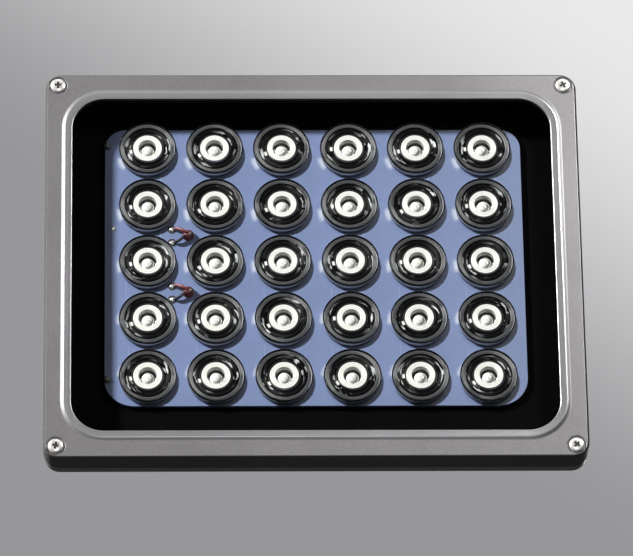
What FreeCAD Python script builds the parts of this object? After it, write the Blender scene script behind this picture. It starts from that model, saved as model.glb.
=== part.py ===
"""Infrared illuminator: a flood lamp with thirty lenses on a tilting wall bracket.

Frame: +X right, +Z up, the lamp shines towards -Y. The origin is the centre of the bracket's
wall face, and distances called forward are measured from that face towards the viewer.
Lengths are in millimetres.
"""

import math
import os

import FreeCAD
import Part
import Sketcher

DIMENSIONS = {
    "bracket": {
        "pivot_reach": 98.0,
        "strip_width": 26.0,
        "strip_thickness": 3.0,
        "arm_inside": 201.4,
        "bend_radius": 4.0,
        "wall_hole_radius": 5.5,
        "side_hole_radius": 3.5,
        "side_hole_spacing": 120.0,
        "pivot_hole_play": 0.4,
        "arm_tip_flat": 0.04,
    },
    "screw heads": {
        "head_edge_share": 0.45,
        "head_flat_share": 0.55,
    },
    "pivot hardware": {
        "bolt_radius": 3.95,
        "bolt_grip": 16.0,
        "bolt_flats": 13.0,
        "bolt_head_height": 5.3,
        "washer_radius": 8.0,
        "washer_play": 0.25,
        "washer_thickness": 1.6,
        "spring_washer_radius": 6.8,
        "spring_washer_thickness": 2.0,
        "spring_washer_split": 1.0,
        "pivot_play": 0.3,
    },
    "bezel": {
        "bezel_width": 225.0,
        "bezel_height": 178.0,
        "bezel_depth": 11.0,
        "bezel_corner": 7.0,
        "bezel_round": 1.4,
        "web_thickness": 1.2,
        "rim_side": 11.5,
        "rim_top": 12.0,
        "window_corner": 13.5,
        "lip_width": 4.2,
        "lip_rise": 1.0,
        "lip_round": 0.7,
        "screw_inset": 5.3,
        "screw_hole_play": 0.25,
        "counterbore_play": 0.55,
        "counterbore_depth": 0.8,
    },
    "bezel screws": {
        "screw_shank_radius": 1.7,
        "screw_head_radius": 3.25,
        "screw_head_height": 1.5,
        "screw_length": 13.5,
        "screw_cross_width": 1.1,
        "screw_cross_span": 3.8,
        "screw_cross_depth": 0.8,
    },
    "glass and gaskets": {
        "glass_overlap": 5.0,
        "glass_thickness": 3.0,
        "glass_play": 0.5,
        "gasket_thickness": 0.8,
        "gasket_setback": 0.8,
        "rim_gasket_thickness": 1.0,
    },
    "rear housing": {
        "flange_clearance": 1.2,
        "flange_thickness": 4.8,
        "flange_step": 0.5,
        "spigot_clearance": 0.4,
        "spigot_wall": 4.0,
        "floor_thickness": 4.0,
        "body_clearance": 2.7,
        "body_height": 160.0,
        "body_corner": 12.0,
        "screw_thread_play": 0.05,
    },
    "cooling fins": {
        "fin_count": 23,
        "fin_inset": 5.6,
        "fin_root": 2.8,
        "fin_tip": 1.6,
        "fin_reach": 28.0,
        "fin_end_foot": 6.0,
        "fin_end_cut": 14.0,
        "fin_crown_width": 30.0,
        "fin_crown_drop": 11.0,
    },
    "pivot bosses": {
        "boss_radius": 12.5,
        "boss_inner": 84.0,
        "boss_bore_spare": 5.2,
    },
    "driver compartment": {
        "lead_case_margin": 12.45,
        "case_height": 96.0,
        "case_reach": 34.2,
        "case_wall": 3.0,
        "case_corner": 8.0,
        "post_radius": 4.0,
        "post_inset_across": 6.0,
        "post_inset_up": 6.5,
        "post_thread_depth": 12.0,
    },
    "driver cover": {
        "cover_thickness": 2.5,
        "cover_gasket_thickness": 1.0,
        "cover_panel_margin": 12.0,
        "cover_panel_rise": 1.5,
        "cover_hole_play": 0.3,
        "cover_screw_head": 2.8,
        "cover_screw_head_height": 2.0,
        "cover_screw_shank": 1.4,
        "cover_screw_length": 13.0,
    },
    "driver": {
        "driver_stand": 8.6,
        "driver_gap_across": 6.0,
        "driver_gap_up": 9.0,
        "driver_board_thickness": 1.6,
        "driver_corner": 3.0,
        "driver_hole_inset": 6.0,
        "driver_hole_play": 0.35,
        "driver_post_radius": 3.4,
        "driver_screw_head": 2.6,
        "driver_screw_head_height": 1.8,
        "driver_screw_shank": 1.25,
        "driver_screw_length": 7.0,
        "coil_width": 16.0,
        "coil_height": 15.0,
        "coil_depth": 12.0,
        "core_width": 25.0,
        "core_height": 9.0,
        "core_depth": 16.0,
        "transformer_across": 20.0,
        "transformer_up": 12.0,
        "capacitor_radius": 6.3,
        "capacitor_length": 17.0,
        "capacitor_across": -22.0,
        "capacitor_up": -4.0,
        "capacitor_pitch": 16.0,
        "terminal_width": 20.0,
        "terminal_height": 9.0,
        "terminal_depth": 10.0,
        "terminal_across": 22.0,
        "terminal_up": -26.0,
        "terminal_hole_radius": 1.6,
        "terminal_hole_pitch": 5.0,
    },
    "cable gland": {
        "gland_inset": 12.0,
        "gland_thread_radius": 6.0,
        "gland_thread_length": 6.0,
        "gland_flats": 17.0,
        "gland_hex_height": 5.0,
        "gland_neck_radius": 5.6,
        "gland_neck_length": 9.0,
        "gland_bore_radius": 4.0,
        "seal_outer_radius": 4.7,
        "seal_bore_radius": 3.5,
        "seal_length": 9.0,
        "seal_proud": 1.6,
        "nut_length": 14.0,
        "nut_flats_length": 8.0,
        "nut_tip_radius": 6.6,
        "nut_play": 0.3,
        "seal_play": 0.1,
        "thread_play": 0.15,
        "gland_bay_width": 26.0,
        "gland_bay_root": 5.0,
    },
    "board": {
        "plate_thickness": 1.5,
        "plate_clearance": 0.5,
        "board_width": 176.0,
        "board_height": 128.8,
        "board_thickness": 1.6,
        "board_corner": 8.8,
        "board_low_corner": 12.4,
        "board_across": 0.6,
        "board_up": 3.4,
        "notch_radius": 1.5,
        "notch_inset": 1.2,
        "notch_margin_low": 12.1,
        "notch_margin_high": 7.8,
        "board_screw_head": 1.6,
        "board_screw_head_height": 1.2,
        "board_screw_shank": 1.0,
        "board_screw_length": 5.2,
        "board_screw_play": 0.1,
    },
    "lens grid": {
        "lens_columns": 6,
        "lens_rows": 5,
        "lens_margin_left": 18.05,
        "lens_margin_right": 16.45,
        "lens_margin_low": 11.6,
        "lens_margin_high": 11.2,
        "lens_gap": 0.3,
    },
    "lens holders": {
        "holder_gap": 2.3,
        "holder_taper": 0.8,
        "holder_rim": 0.7,
        "holder_seat_depth": 1.5,
        "holder_seat_width": 0.8,
        "holder_throat_radius": 5.2,
        "holder_height": 5.4,
    },
    "lenses": {
        "lens_play": 0.15,
        "lens_flange_thickness": 1.25,
        "lens_cone_play": 0.4,
        "lens_foot_radius": 4.3,
        "lens_foot_stand": 0.9,
        "collimator_radius": 6.1,
        "collimator_gap": 0.4,
        "collimator_gap_depth": 1.0,
        "well_radius": 3.8,
        "well_depth": 3.6,
    },
    "emitters": {
        "emitter_size": 3.45,
        "emitter_height": 0.6,
    },
    "leads": {
        "lead_radius": 0.75,
        "lead_bend": 2.6,
        "lead_stand": 0.3,
        "lead_spread": 0.95,
        "lead_pad_reach": 6.5,
        "red_pad_up": 2.9,
        "black_pad_down": 3.3,
        "lead_hole_radius": 2.1,
        "lead_hole_from_lens": 16.8,
        "lead_hole_up": 0.9,
    },
}

SAME_PLACE = 0.01
LEAST_CUT = 0.001

doc = FreeCAD.newDocument("InfraredIlluminator")
sheet = doc.addObject("Spreadsheet::Sheet", "size")


def fill_sheet():
    """Write each driving dimension into the sheet, with its name as the cell's alias."""
    row = 1
    for group, entries in DIMENSIONS.items():
        sheet.set(f"A{row}", group)
        row += 1
        for name, number in entries.items():
            sheet.set(f"A{row}", name)
            sheet.set(f"B{row}", str(number))
            sheet.setAlias(f"B{row}", name)
            row += 1
    doc.recompute()


def ref(text):
    """Expression on the sheet: every dimension's name gets the sheet's name before it."""
    words = text.replace("(", " ( ").replace(")", " ) ").split()
    known = {name for entries in DIMENSIONS.values() for name in entries}
    return " ".join(f"size.{word}" if word in known else word for word in words)


def value(expression):
    """Number that an expression on the sheet gives now."""
    return float(sheet.evalExpression(expression))


# Levels measured forward from the wall face
PIVOT = ref("pivot_reach")
FLANGE_REAR = ref("( pivot_reach + strip_width / 2 + flange_clearance )")
FLANGE_FRONT = f"( {FLANGE_REAR} + {ref('flange_thickness')} )"
FACE = f"( {FLANGE_FRONT} + {ref('bezel_depth')} )"
LEDGE = f"( {FACE} - {ref('web_thickness')} )"
GLASS_FRONT = f"( {LEDGE} - {ref('gasket_thickness')} )"
GLASS_REAR = f"( {GLASS_FRONT} - {ref('glass_thickness')} )"
RIM = f"( {GLASS_REAR} - {ref('rim_gasket_thickness')} )"
LENS_TOP = f"( {GLASS_REAR} - {ref('lens_gap')} )"
BOARD_FRONT = f"( {LENS_TOP} - {ref('holder_height')} )"
PLATE_FRONT = f"( {BOARD_FRONT} - {ref('board_thickness')} )"
FLOOR_FRONT = f"( {PLATE_FRONT} - {ref('plate_thickness')} )"
FLOOR_REAR = f"( {FLOOR_FRONT} - {ref('floor_thickness')} )"
CASE_REAR = f"( {FLOOR_REAR} - {ref('case_reach')} )"
COVER_FRONT = f"( {CASE_REAR} - {ref('cover_gasket_thickness')} )"
COVER_REAR = f"( {COVER_FRONT} - {ref('cover_thickness')} )"
DRIVER_FRONT = f"( {FLOOR_REAR} - {ref('driver_stand')} )"
DRIVER_REAR = f"( {DRIVER_FRONT} - {ref('driver_board_thickness')} )"

# Outlines shared by pieces that fit each other
WINDOW_WIDTH = ref("( bezel_width - 2 * rim_side )")
WINDOW_HEIGHT = ref("( bezel_height - 2 * rim_top )")
GLASS_WIDTH = f"( {WINDOW_WIDTH} + 2 * {ref('glass_overlap')} )"
GLASS_HEIGHT = f"( {WINDOW_HEIGHT} + 2 * {ref('glass_overlap')} )"
GLASS_CORNER = ref("( window_corner + glass_overlap )")
RECESS_WIDTH = f"( {GLASS_WIDTH} + 2 * {ref('glass_play')} )"
RECESS_HEIGHT = f"( {GLASS_HEIGHT} + 2 * {ref('glass_play')} )"
RECESS_CORNER = ref("( window_corner + glass_overlap + glass_play )")
SPIGOT_WIDTH = f"( {RECESS_WIDTH} - 2 * {ref('spigot_clearance')} )"
SPIGOT_HEIGHT = f"( {RECESS_HEIGHT} - 2 * {ref('spigot_clearance')} )"
SPIGOT_CORNER = f"( {RECESS_CORNER} - {ref('spigot_clearance')} )"
CAVITY_WIDTH = f"( {SPIGOT_WIDTH} - 2 * {ref('spigot_wall')} )"
CAVITY_HEIGHT = f"( {SPIGOT_HEIGHT} - 2 * {ref('spigot_wall')} )"
CAVITY_CORNER = f"( {SPIGOT_CORNER} - {ref('spigot_wall')} )"
BODY_WIDTH = ref("( arm_inside - 2 * body_clearance )")
FIN_PITCH = f"( ( {BODY_WIDTH} - 2 * {ref('fin_inset')} ) / ( {ref('fin_count')} - 1 ) )"
SCREW_ACROSS = ref("( bezel_width / 2 - screw_inset )")
SCREW_UP = ref("( bezel_height / 2 - screw_inset )")
BOARD_LEFT = ref("( board_across - board_width / 2 )")
BOARD_LOW = ref("( board_up - board_height / 2 )")
NOTCH_ACROSS = f"( {BOARD_LEFT} + {ref('notch_inset')} )"
NOTCH_LOW = f"( {BOARD_LOW} + {ref('notch_margin_low')} )"
NOTCH_SPACING = ref("( board_height - notch_margin_low - notch_margin_high )")
FIRST_LENS_ACROSS = f"( {BOARD_LEFT} + {ref('lens_margin_left')} )"
FIRST_LENS_UP = f"( {BOARD_LOW} + {ref('lens_margin_low')} )"
LENS_SPAN_ACROSS = ref("( board_width - lens_margin_left - lens_margin_right )")
LENS_SPAN_UP = ref("( board_height - lens_margin_low - lens_margin_high )")
LENS_PITCH_ACROSS = f"( {LENS_SPAN_ACROSS} / ( {ref('lens_columns')} - 1 ) )"
LENS_PITCH_UP = f"( {LENS_SPAN_UP} / ( {ref('lens_rows')} - 1 ) )"
HOLDER_RADIUS = f"( ( {LENS_PITCH_UP} - {ref('holder_gap')} ) / 2 )"
HOLDER_RIM_INNER = f"( {HOLDER_RADIUS} - {ref('holder_rim')} )"
HOLDER_SEAT = f"( {HOLDER_RIM_INNER} - {ref('holder_seat_width')} )"
LEAD_HOLE_ACROSS = f"( {FIRST_LENS_ACROSS} + {ref('lead_hole_from_lens')} )"
LEAD_HOLE_MIDDLE = f"( {FIRST_LENS_UP} + {LENS_SPAN_UP} / 2 + {ref('lead_hole_up')} )"
LEAD_HOLE_LOW = f"( {LEAD_HOLE_MIDDLE} - {LENS_PITCH_UP} / 2 )"
LEAD_LEVEL = f"( {BOARD_FRONT} + {ref('lead_radius + lead_stand')} )"
CASE_HALF = f"( {ref('lead_case_margin')} - {LEAD_HOLE_ACROSS} )"
CASE_WIDTH = f"( 2 * {CASE_HALF} )"
POST_ACROSS = f"( {CASE_HALF} - {ref('post_inset_across')} )"
POST_UP = ref("( case_height / 2 - post_inset_up )")
DRIVER_WIDTH = f"( {CASE_WIDTH} - 2 * {ref('case_wall')} - 2 * {ref('driver_gap_across')} )"
DRIVER_HEIGHT = ref("( case_height - 2 * case_wall - 2 * driver_gap_up )")
DRIVER_HOLE_ACROSS = f"( {DRIVER_WIDTH} / 2 - {ref('driver_hole_inset')} )"
DRIVER_HOLE_UP = f"( {DRIVER_HEIGHT} / 2 - {ref('driver_hole_inset')} )"
BOSS_FACE = ref("( arm_inside / 2 - pivot_play )")
WASHER_FACE = ref("( arm_inside / 2 + strip_thickness + pivot_play )")
SPRING_FACE = f"( {WASHER_FACE} + {ref('washer_thickness')} )"
BOLT_FACE = f"( {SPRING_FACE} + {ref('spring_washer_thickness')} )"
BOLT_DEPTH = f"( {BOSS_FACE} - {BOLT_FACE} + {ref('bolt_grip')} )"
GLAND_FORWARD = f"( {CASE_REAR} + {ref('gland_inset')} )"
GLAND_WALL = ref("( 0 - case_height / 2 )")
GLAND_NECK = f"( {GLAND_WALL} - {ref('gland_hex_height')} )"
GLAND_NECK_END = f"( {GLAND_NECK} - {ref('gland_neck_length')} )"


def origin_item(body, role):
    """Origin plane or axis of a body."""
    return next(item for item in body.Origin.OriginFeatures if item.Role == role)


def new_body(name, several=False):
    """Empty body for one node; several solids are allowed where like pieces share a node."""
    body = doc.addObject("PartDesign::Body", name)
    body.Label = name
    body.AllowCompound = several
    return body


def new_sketch(body, plane, offset="0"):
    """Sketch on one of the body's own origin planes, moved along the plane's normal."""
    sketch = body.newObject("Sketcher::SketchObject", f"{body.Name}_outline")
    sketch.AttachmentSupport = [(origin_item(body, plane), "")]
    sketch.MapMode = "FlatFace"
    sketch.setExpression("AttachmentOffset.Base.z", offset)
    return sketch


def pin(sketch, geometry, point, across, up):
    """Tie a point of the sketch to the sketch's origin by two dimensions."""
    for kind, expression in (("DistanceX", across), ("DistanceY", up)):
        rule = Sketcher.Constraint(kind, -1, 1, geometry, point, value(expression))
        index = sketch.addConstraint(rule)
        sketch.setExpression(f"Constraints[{index}]", expression)


def size_radius(sketch, geometry, radius):
    """Give a circle or an arc its radius."""
    index = sketch.addConstraint(Sketcher.Constraint("Radius", geometry, value(radius)))
    sketch.setExpression(f"Constraints[{index}]", radius)


def polygon(sketch, corners):
    """Closed outline of straight lines through corners given as pairs of expressions."""
    first = sketch.GeometryCount
    points = [FreeCAD.Vector(value(across), value(up), 0) for across, up in corners]
    count = len(points)
    for index in range(count):
        sketch.addGeometry(Part.LineSegment(points[index], points[(index + 1) % count]), False)
    for index in range(count):
        following = first + (index + 1) % count
        sketch.addConstraint(Sketcher.Constraint("Coincident", first + index, 2, following, 1))
        pin(sketch, first + index, 1, *corners[index])


def rectangle(sketch, left, right, low, high):
    """Closed rectangle between four expressions."""
    polygon(sketch, [(left, low), (right, low), (right, high), (left, high)])


def circle(sketch, across, up, radius):
    """Circle with its centre and radius given as expressions."""
    centre = FreeCAD.Vector(value(across), value(up), 0)
    shape = Part.Circle(centre, FreeCAD.Vector(0, 0, 1), value(radius))
    index = sketch.addGeometry(shape, False)
    pin(sketch, index, 3, across, up)
    size_radius(sketch, index, radius)


def rounded_rectangle(sketch, width, height, corner, across="0", up="0", low_corner=None):
    """Rectangle with four tangent corner arcs, centred on across and up; the low two may differ."""
    low = low_corner or corner
    first = sketch.GeometryCount
    quarter = math.pi / 2
    corners = []
    sides = ((1, 1, corner), (-1, 1, corner), (-1, -1, low), (1, -1, low))
    for side_across, side_up, radius in sides:
        centre_across = f"( {across} ) + {side_across} * ( {width} / 2 - {radius} )"
        centre_up = f"( {up} ) + {side_up} * ( {height} / 2 - {radius} )"
        corners.append((centre_across, centre_up, radius))
    for turn, (centre_across, centre_up, radius) in enumerate(corners):
        centre = FreeCAD.Vector(value(centre_across), value(centre_up), 0)
        shape = Part.Circle(centre, FreeCAD.Vector(0, 0, 1), value(radius))
        arc = Part.ArcOfCircle(shape, turn * quarter, (turn + 1) * quarter)
        sketch.addGeometry(arc, False)
    for turn in range(4):
        start = sketch.getPoint(first + turn, 2)
        end = sketch.getPoint(first + (turn + 1) % 4, 1)
        sketch.addGeometry(Part.LineSegment(start, end), False)
    for turn, (centre_across, centre_up, radius) in enumerate(corners):
        line = first + 4 + turn
        following = first + (turn + 1) % 4
        sketch.addConstraint(Sketcher.Constraint("Tangent", first + turn, 2, line, 1))
        sketch.addConstraint(Sketcher.Constraint("Tangent", line, 2, following, 1))
        pin(sketch, first + turn, 3, centre_across, centre_up)
        size_radius(sketch, first + turn, radius)


def hexagon(sketch, across, up, flats):
    """Hexagon with the given distance across its flats, two of them level."""
    reach = f"{flats} / sqrt(3)"
    corners = []
    for along, side in ((1, 0), (0.5, 0.5), (-0.5, 0.5), (-1, 0), (-0.5, -0.5), (0.5, -0.5)):
        corners.append((f"{across} + {along} * {reach}", f"{up} + {side} * {flats}"))
    polygon(sketch, corners)


def pad(body, sketch, length):
    """Solid raised from the sketch along its plane's normal."""
    feature = body.newObject("PartDesign::Pad", f"{body.Name}_pad")
    feature.Profile = sketch
    feature.setExpression("Length", length)
    return feature


def pocket(body, sketch, depth, towards_normal=False):
    """Cut from the sketch to a depth, against the plane's normal unless told otherwise."""
    feature = body.newObject("PartDesign::Pocket", f"{body.Name}_pocket")
    feature.Profile = sketch
    feature.Reversed = towards_normal
    feature.setExpression("Length", depth)
    return feature


def revolve(body, sketch):
    """Solid of revolution about the sketch's upright axis."""
    feature = body.newObject("PartDesign::Revolution", f"{body.Name}_revolution")
    feature.Profile = sketch
    feature.ReferenceAxis = (sketch, ["V_Axis"])
    feature.Angle = 360
    return feature


def fillet(body, base, edges, radius):
    """Rounded edges of the body's last feature."""
    feature = body.newObject("PartDesign::Fillet", f"{body.Name}_fillet")
    feature.Base = (base, edges)
    feature.setExpression("Radius", radius)
    return feature


def edges_where(feature, test):
    """Names of the edges whose bounding box and centre pass a test."""
    doc.recompute()
    found = []
    for index, edge in enumerate(feature.Shape.Edges, 1):
        if test(edge.BoundBox, edge.CenterOfMass):
            found.append(f"Edge{index}")
    return found


def grid(body, features, columns, rows, pitch_across, pitch_up):
    """Repeat features in columns along X and rows along Z."""
    pattern = body.newObject("PartDesign::MultiTransform", f"{body.Name}_grid")
    pattern.Originals = features
    steps = []
    for role, count, pitch in (("X_Axis", columns, pitch_across), ("Z_Axis", rows, pitch_up)):
        step = body.newObject("PartDesign::LinearPattern", f"{body.Name}_step")
        step.Direction = (origin_item(body, role), [""])
        step.setExpression("Occurrences", count)
        step.setExpression("Length", f"( {count} - 1 ) * {pitch}")
        steps.append(step)
    pattern.Transformations = steps
    body.Tip = pattern


def mirror_sides(body, features):
    """Repeat features on the other side of the lamp."""
    mirror = body.newObject("PartDesign::Mirrored", f"{body.Name}_mirror")
    mirror.Originals = features
    mirror.MirrorPlane = (origin_item(body, "YZ_Plane"), [""])
    body.Tip = mirror


def four_circles(sketch, across, up, radius):
    """Four equal circles, one in each corner of a centred rectangle."""
    for side_across in ("-1", "1"):
        for side_up in ("-1", "1"):
            circle(sketch, f"{side_across} * {across}", f"{side_up} * {up}", radius)


def lead_holes(sketch, radius):
    """Two circles where the lead pairs pass."""
    for row in ("0", "1"):
        up = f"{LEAD_HOLE_LOW} + {row} * {LENS_PITCH_UP}"
        circle(sketch, LEAD_HOLE_ACROSS, up, radius)


def board_notches(sketch, radius):
    """Two circles at the screw notches in the board's left edge."""
    for row in ("0", "1"):
        circle(sketch, NOTCH_ACROSS, f"{NOTCH_LOW} + {row} * {NOTCH_SPACING}", radius)


def make_bezel():
    """Front frame with a raised lip round the window and a counterbore in each corner."""
    body = new_body("bezel")
    sketch = new_sketch(body, "XZ_Plane", FLANGE_FRONT)
    rounded_rectangle(sketch, ref("bezel_width"), ref("bezel_height"), ref("bezel_corner"))
    frame = pad(body, sketch, ref("bezel_depth"))
    plane = -value(FACE)
    rim = edges_where(frame, lambda box, _: box.YMax < plane + SAME_PLACE)
    fillet(body, frame, rim, ref("bezel_round"))

    sketch = new_sketch(body, "XZ_Plane", f"{FACE} - {ref('web_thickness')} / 2")
    rounded_rectangle(
        sketch,
        f"( {WINDOW_WIDTH} + 2 * {ref('lip_width')} )",
        f"( {WINDOW_HEIGHT} + 2 * {ref('lip_width')} )",
        ref("( window_corner + lip_width )"),
    )
    pad(body, sketch, ref("web_thickness / 2 + lip_rise"))
    sketch = new_sketch(body, "XZ_Plane", f"{FACE} + {ref('lip_rise')}")
    rounded_rectangle(sketch, WINDOW_WIDTH, WINDOW_HEIGHT, ref("window_corner"))
    opening = pocket(body, sketch, ref("bezel_depth + lip_rise"))
    crest = -value(f"{FACE} + {ref('lip_rise')}")
    ring = edges_where(opening, lambda box, _: box.YMax < crest + SAME_PLACE)
    fillet(body, opening, ring, ref("lip_round"))

    sketch = new_sketch(body, "XZ_Plane", FLANGE_FRONT)
    rounded_rectangle(sketch, RECESS_WIDTH, RECESS_HEIGHT, RECESS_CORNER)
    pocket(body, sketch, ref("bezel_depth - web_thickness"), towards_normal=True)
    sketch = new_sketch(body, "XZ_Plane", FACE)
    four_circles(sketch, SCREW_ACROSS, SCREW_UP, ref("screw_shank_radius + screw_hole_play"))
    pocket(body, sketch, ref("bezel_depth"))
    sketch = new_sketch(body, "XZ_Plane", FACE)
    four_circles(sketch, SCREW_ACROSS, SCREW_UP, ref("screw_head_radius + counterbore_play"))
    pocket(body, sketch, ref("counterbore_depth"))
    return body


def corner_screws(name, across, up, seat, sizes, cross=None):
    """Four pan-head screws whose heads face the viewer, one in each corner of a rectangle."""
    head_radius, head_height, shank_radius, length = sizes
    body = new_body(name, several=True)
    body.setExpression("Placement.Base.x", f"0 - {across}")
    body.setExpression("Placement.Base.y", f"0 - {seat}")
    body.setExpression("Placement.Base.z", f"0 - {up}")
    features = [screw_blank(body, head_radius, head_height, shank_radius, length)]
    if cross:
        features += cross_recess(body, head_height, cross)
    grid(body, features, "2", "2", f"( 2 * {across} )", f"( 2 * {up} )")
    return body


def screw_blank(body, head_radius, head_height, shank_radius, length, facing="-1"):
    """Domed head and plain shank turned about the Y axis, seated at the body's origin."""
    sketch = new_sketch(body, "XY_Plane")
    top = f"{facing} * {head_height}"
    shoulder = f"{facing} * {head_height} * {ref('head_edge_share')}"
    tail = f"0 - {facing} * {length}"
    polygon(sketch, [
        ("0", top),
        (f"{head_radius} * {ref('head_flat_share')}", top),
        (head_radius, shoulder),
        (head_radius, "0"),
        (shank_radius, "0"),
        (shank_radius, tail),
        ("0", tail),
    ])
    return revolve(body, sketch)


def cross_recess(body, head_height, cross):
    """Two crossed slots in a screw head."""
    span, width, depth = cross
    slots = []
    for wide, tall in ((span, width), (width, span)):
        sketch = new_sketch(body, "XZ_Plane", head_height)
        rectangle(sketch, f"0 - {wide} / 2", f"{wide} / 2", f"0 - {tall} / 2", f"{tall} / 2")
        slots.append(pocket(body, sketch, depth))
    return slots


def make_bezel_screws():
    """Four cross-head screws that clamp the bezel to the housing."""
    sizes = (
        ref("screw_head_radius"),
        ref("screw_head_height"),
        ref("screw_shank_radius"),
        ref("screw_length"),
    )
    cross = (ref("screw_cross_span"), ref("screw_cross_width"), ref("screw_cross_depth"))
    seat = f"( {FACE} - {ref('counterbore_depth')} )"
    return corner_screws("bezel_screws", SCREW_ACROSS, SCREW_UP, seat, sizes, cross)


def flat_plate(name, rear, thickness, width, height, corner):
    """Rounded plate whose rear face is at a forward level."""
    body = new_body(name)
    sketch = new_sketch(body, "XZ_Plane", rear)
    rounded_rectangle(sketch, width, height, corner)
    pad(body, sketch, thickness)
    return body


def flat_ring(name, rear, thickness, outer, inner):
    """Flat gasket between an outer and an inner rounded outline."""
    body = new_body(name)
    sketch = new_sketch(body, "XZ_Plane", rear)
    rounded_rectangle(sketch, *outer)
    rounded_rectangle(sketch, *inner)
    pad(body, sketch, thickness)
    return body


def make_front_glass():
    """Toughened glass pane behind the bezel's ledge."""
    return flat_plate(
        "front_glass",
        GLASS_REAR,
        ref("glass_thickness"),
        GLASS_WIDTH,
        GLASS_HEIGHT,
        GLASS_CORNER,
    )


def make_glass_gasket():
    """Silicone ring between the ledge and the glass."""
    setback = ref("gasket_setback")
    outer = (GLASS_WIDTH, GLASS_HEIGHT, GLASS_CORNER)
    inner = (
        f"( {WINDOW_WIDTH} + 2 * {setback} )",
        f"( {WINDOW_HEIGHT} + 2 * {setback} )",
        ref("( window_corner + gasket_setback )"),
    )
    return flat_ring("glass_gasket", GLASS_FRONT, ref("gasket_thickness"), outer, inner)


def make_rim_gasket():
    """Rubber ring between the housing's rim and the glass."""
    margin = ref("gasket_setback")
    outer = (
        f"( {SPIGOT_WIDTH} - {margin} )",
        f"( {SPIGOT_HEIGHT} - {margin} )",
        f"( {SPIGOT_CORNER} - {margin} / 2 )",
    )
    inner = (
        f"( {CAVITY_WIDTH} + {margin} )",
        f"( {CAVITY_HEIGHT} + {margin} )",
        f"( {CAVITY_CORNER} + {margin} / 2 )",
    )
    return flat_ring("rim_gasket", RIM, ref("rim_gasket_thickness"), outer, inner)


def housing_tray(body):
    """Flange, spigot and floor of the housing, with the cavity that holds the board."""
    sketch = new_sketch(body, "XZ_Plane", FLANGE_REAR)
    rounded_rectangle(
        sketch,
        ref("( bezel_width - 2 * flange_step )"),
        ref("( bezel_height - 2 * flange_step )"),
        ref("( bezel_corner - flange_step )"),
    )
    pad(body, sketch, ref("flange_thickness"))
    sketch = new_sketch(body, "XZ_Plane", FLANGE_REAR)
    rounded_rectangle(sketch, SPIGOT_WIDTH, SPIGOT_HEIGHT, SPIGOT_CORNER)
    pad(body, sketch, f"{RIM} - {FLANGE_REAR}")
    sketch = new_sketch(body, "XZ_Plane", FLOOR_REAR)
    rounded_rectangle(sketch, BODY_WIDTH, ref("body_height"), ref("body_corner"))
    pad(body, sketch, f"{FLANGE_FRONT} - {FLOOR_REAR}")
    sketch = new_sketch(body, "XZ_Plane", RIM)
    rounded_rectangle(sketch, CAVITY_WIDTH, CAVITY_HEIGHT, CAVITY_CORNER)
    pocket(body, sketch, f"{RIM} - {FLOOR_FRONT}")


def housing_fins(body):
    """Upright cooling fins, trimmed to sloping ends and a lower crown at the sides."""
    reach = f"( 0 - {FLOOR_REAR} )"
    tip = f"( {ref('fin_reach')} - {FLOOR_REAR} )"
    span = f"( {BODY_WIDTH} - 2 * {ref('fin_inset')} )"
    first = f"( 0 - {span} / 2 )"
    half_root = ref("fin_root / 2")
    half_tip = ref("fin_tip / 2")
    sketch = new_sketch(body, "XY_Plane", ref("0 - body_height / 2"))
    foot = f"{reach} - {ref('floor_thickness')} / 2"
    polygon(sketch, [
        (f"{first} - {half_root}", foot),
        (f"{first} + {half_root}", foot),
        (f"{first} + {half_tip}", tip),
        (f"{first} - {half_tip}", tip),
    ])
    fin = pad(body, sketch, ref("body_height"))
    fins = body.newObject("PartDesign::LinearPattern", f"{body.Name}_fins")
    fins.Originals = [fin]
    fins.Direction = (origin_item(body, "X_Axis"), [""])
    fins.setExpression("Occurrences", ref("fin_count"))
    fins.setExpression("Length", span)
    body.Tip = fins

    beyond = f"{tip} + {ref('fin_tip')}"
    half_body = ref("( body_height / 2 )")
    over = f"( {half_body} + {ref('fin_tip')} )"
    sketch = new_sketch(body, "YZ_Plane", f"0 - {BODY_WIDTH} / 2 - {FIN_PITCH}")
    for side in ("-1", "1"):
        polygon(sketch, [
            (f"{reach} + {ref('fin_end_foot')}", f"{side} * {over}"),
            (f"{reach} + {ref('fin_end_foot')}", f"{side} * {half_body}"),
            (tip, f"{side} * ( {half_body} - {ref('fin_end_cut')} )"),
            (beyond, f"{side} * ( {half_body} - {ref('fin_end_cut')} )"),
            (beyond, f"{side} * {over}"),
        ])
    pocket(body, sketch, f"{BODY_WIDTH} + 2 * {FIN_PITCH}", towards_normal=True)

    half_width = f"( {BODY_WIDTH} / 2 )"
    outside = f"( {half_width} + {ref('fin_tip')} )"
    sketch = new_sketch(body, "XY_Plane", ref("0 - body_height / 2 - fin_tip"))
    for side in ("-1", "1"):
        polygon(sketch, [
            (f"{side} * ( {half_width} - {ref('fin_crown_width')} )", tip),
            (f"{side} * {outside}", f"{tip} - {ref('fin_crown_drop')}"),
            (f"{side} * {outside}", beyond),
            (f"{side} * ( {half_width} - {ref('fin_crown_width')} )", beyond),
        ])
    pocket(body, sketch, ref("body_height + 2 * fin_tip"), towards_normal=True)

    bay = ref("gland_bay_width / 2")
    sketch = new_sketch(body, "XY_Plane", GLAND_WALL)
    rectangle(sketch, f"0 - {bay}", bay, f"{reach} + {ref('gland_bay_root')}", beyond)
    pocket(body, sketch, ref("body_height"))


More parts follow.
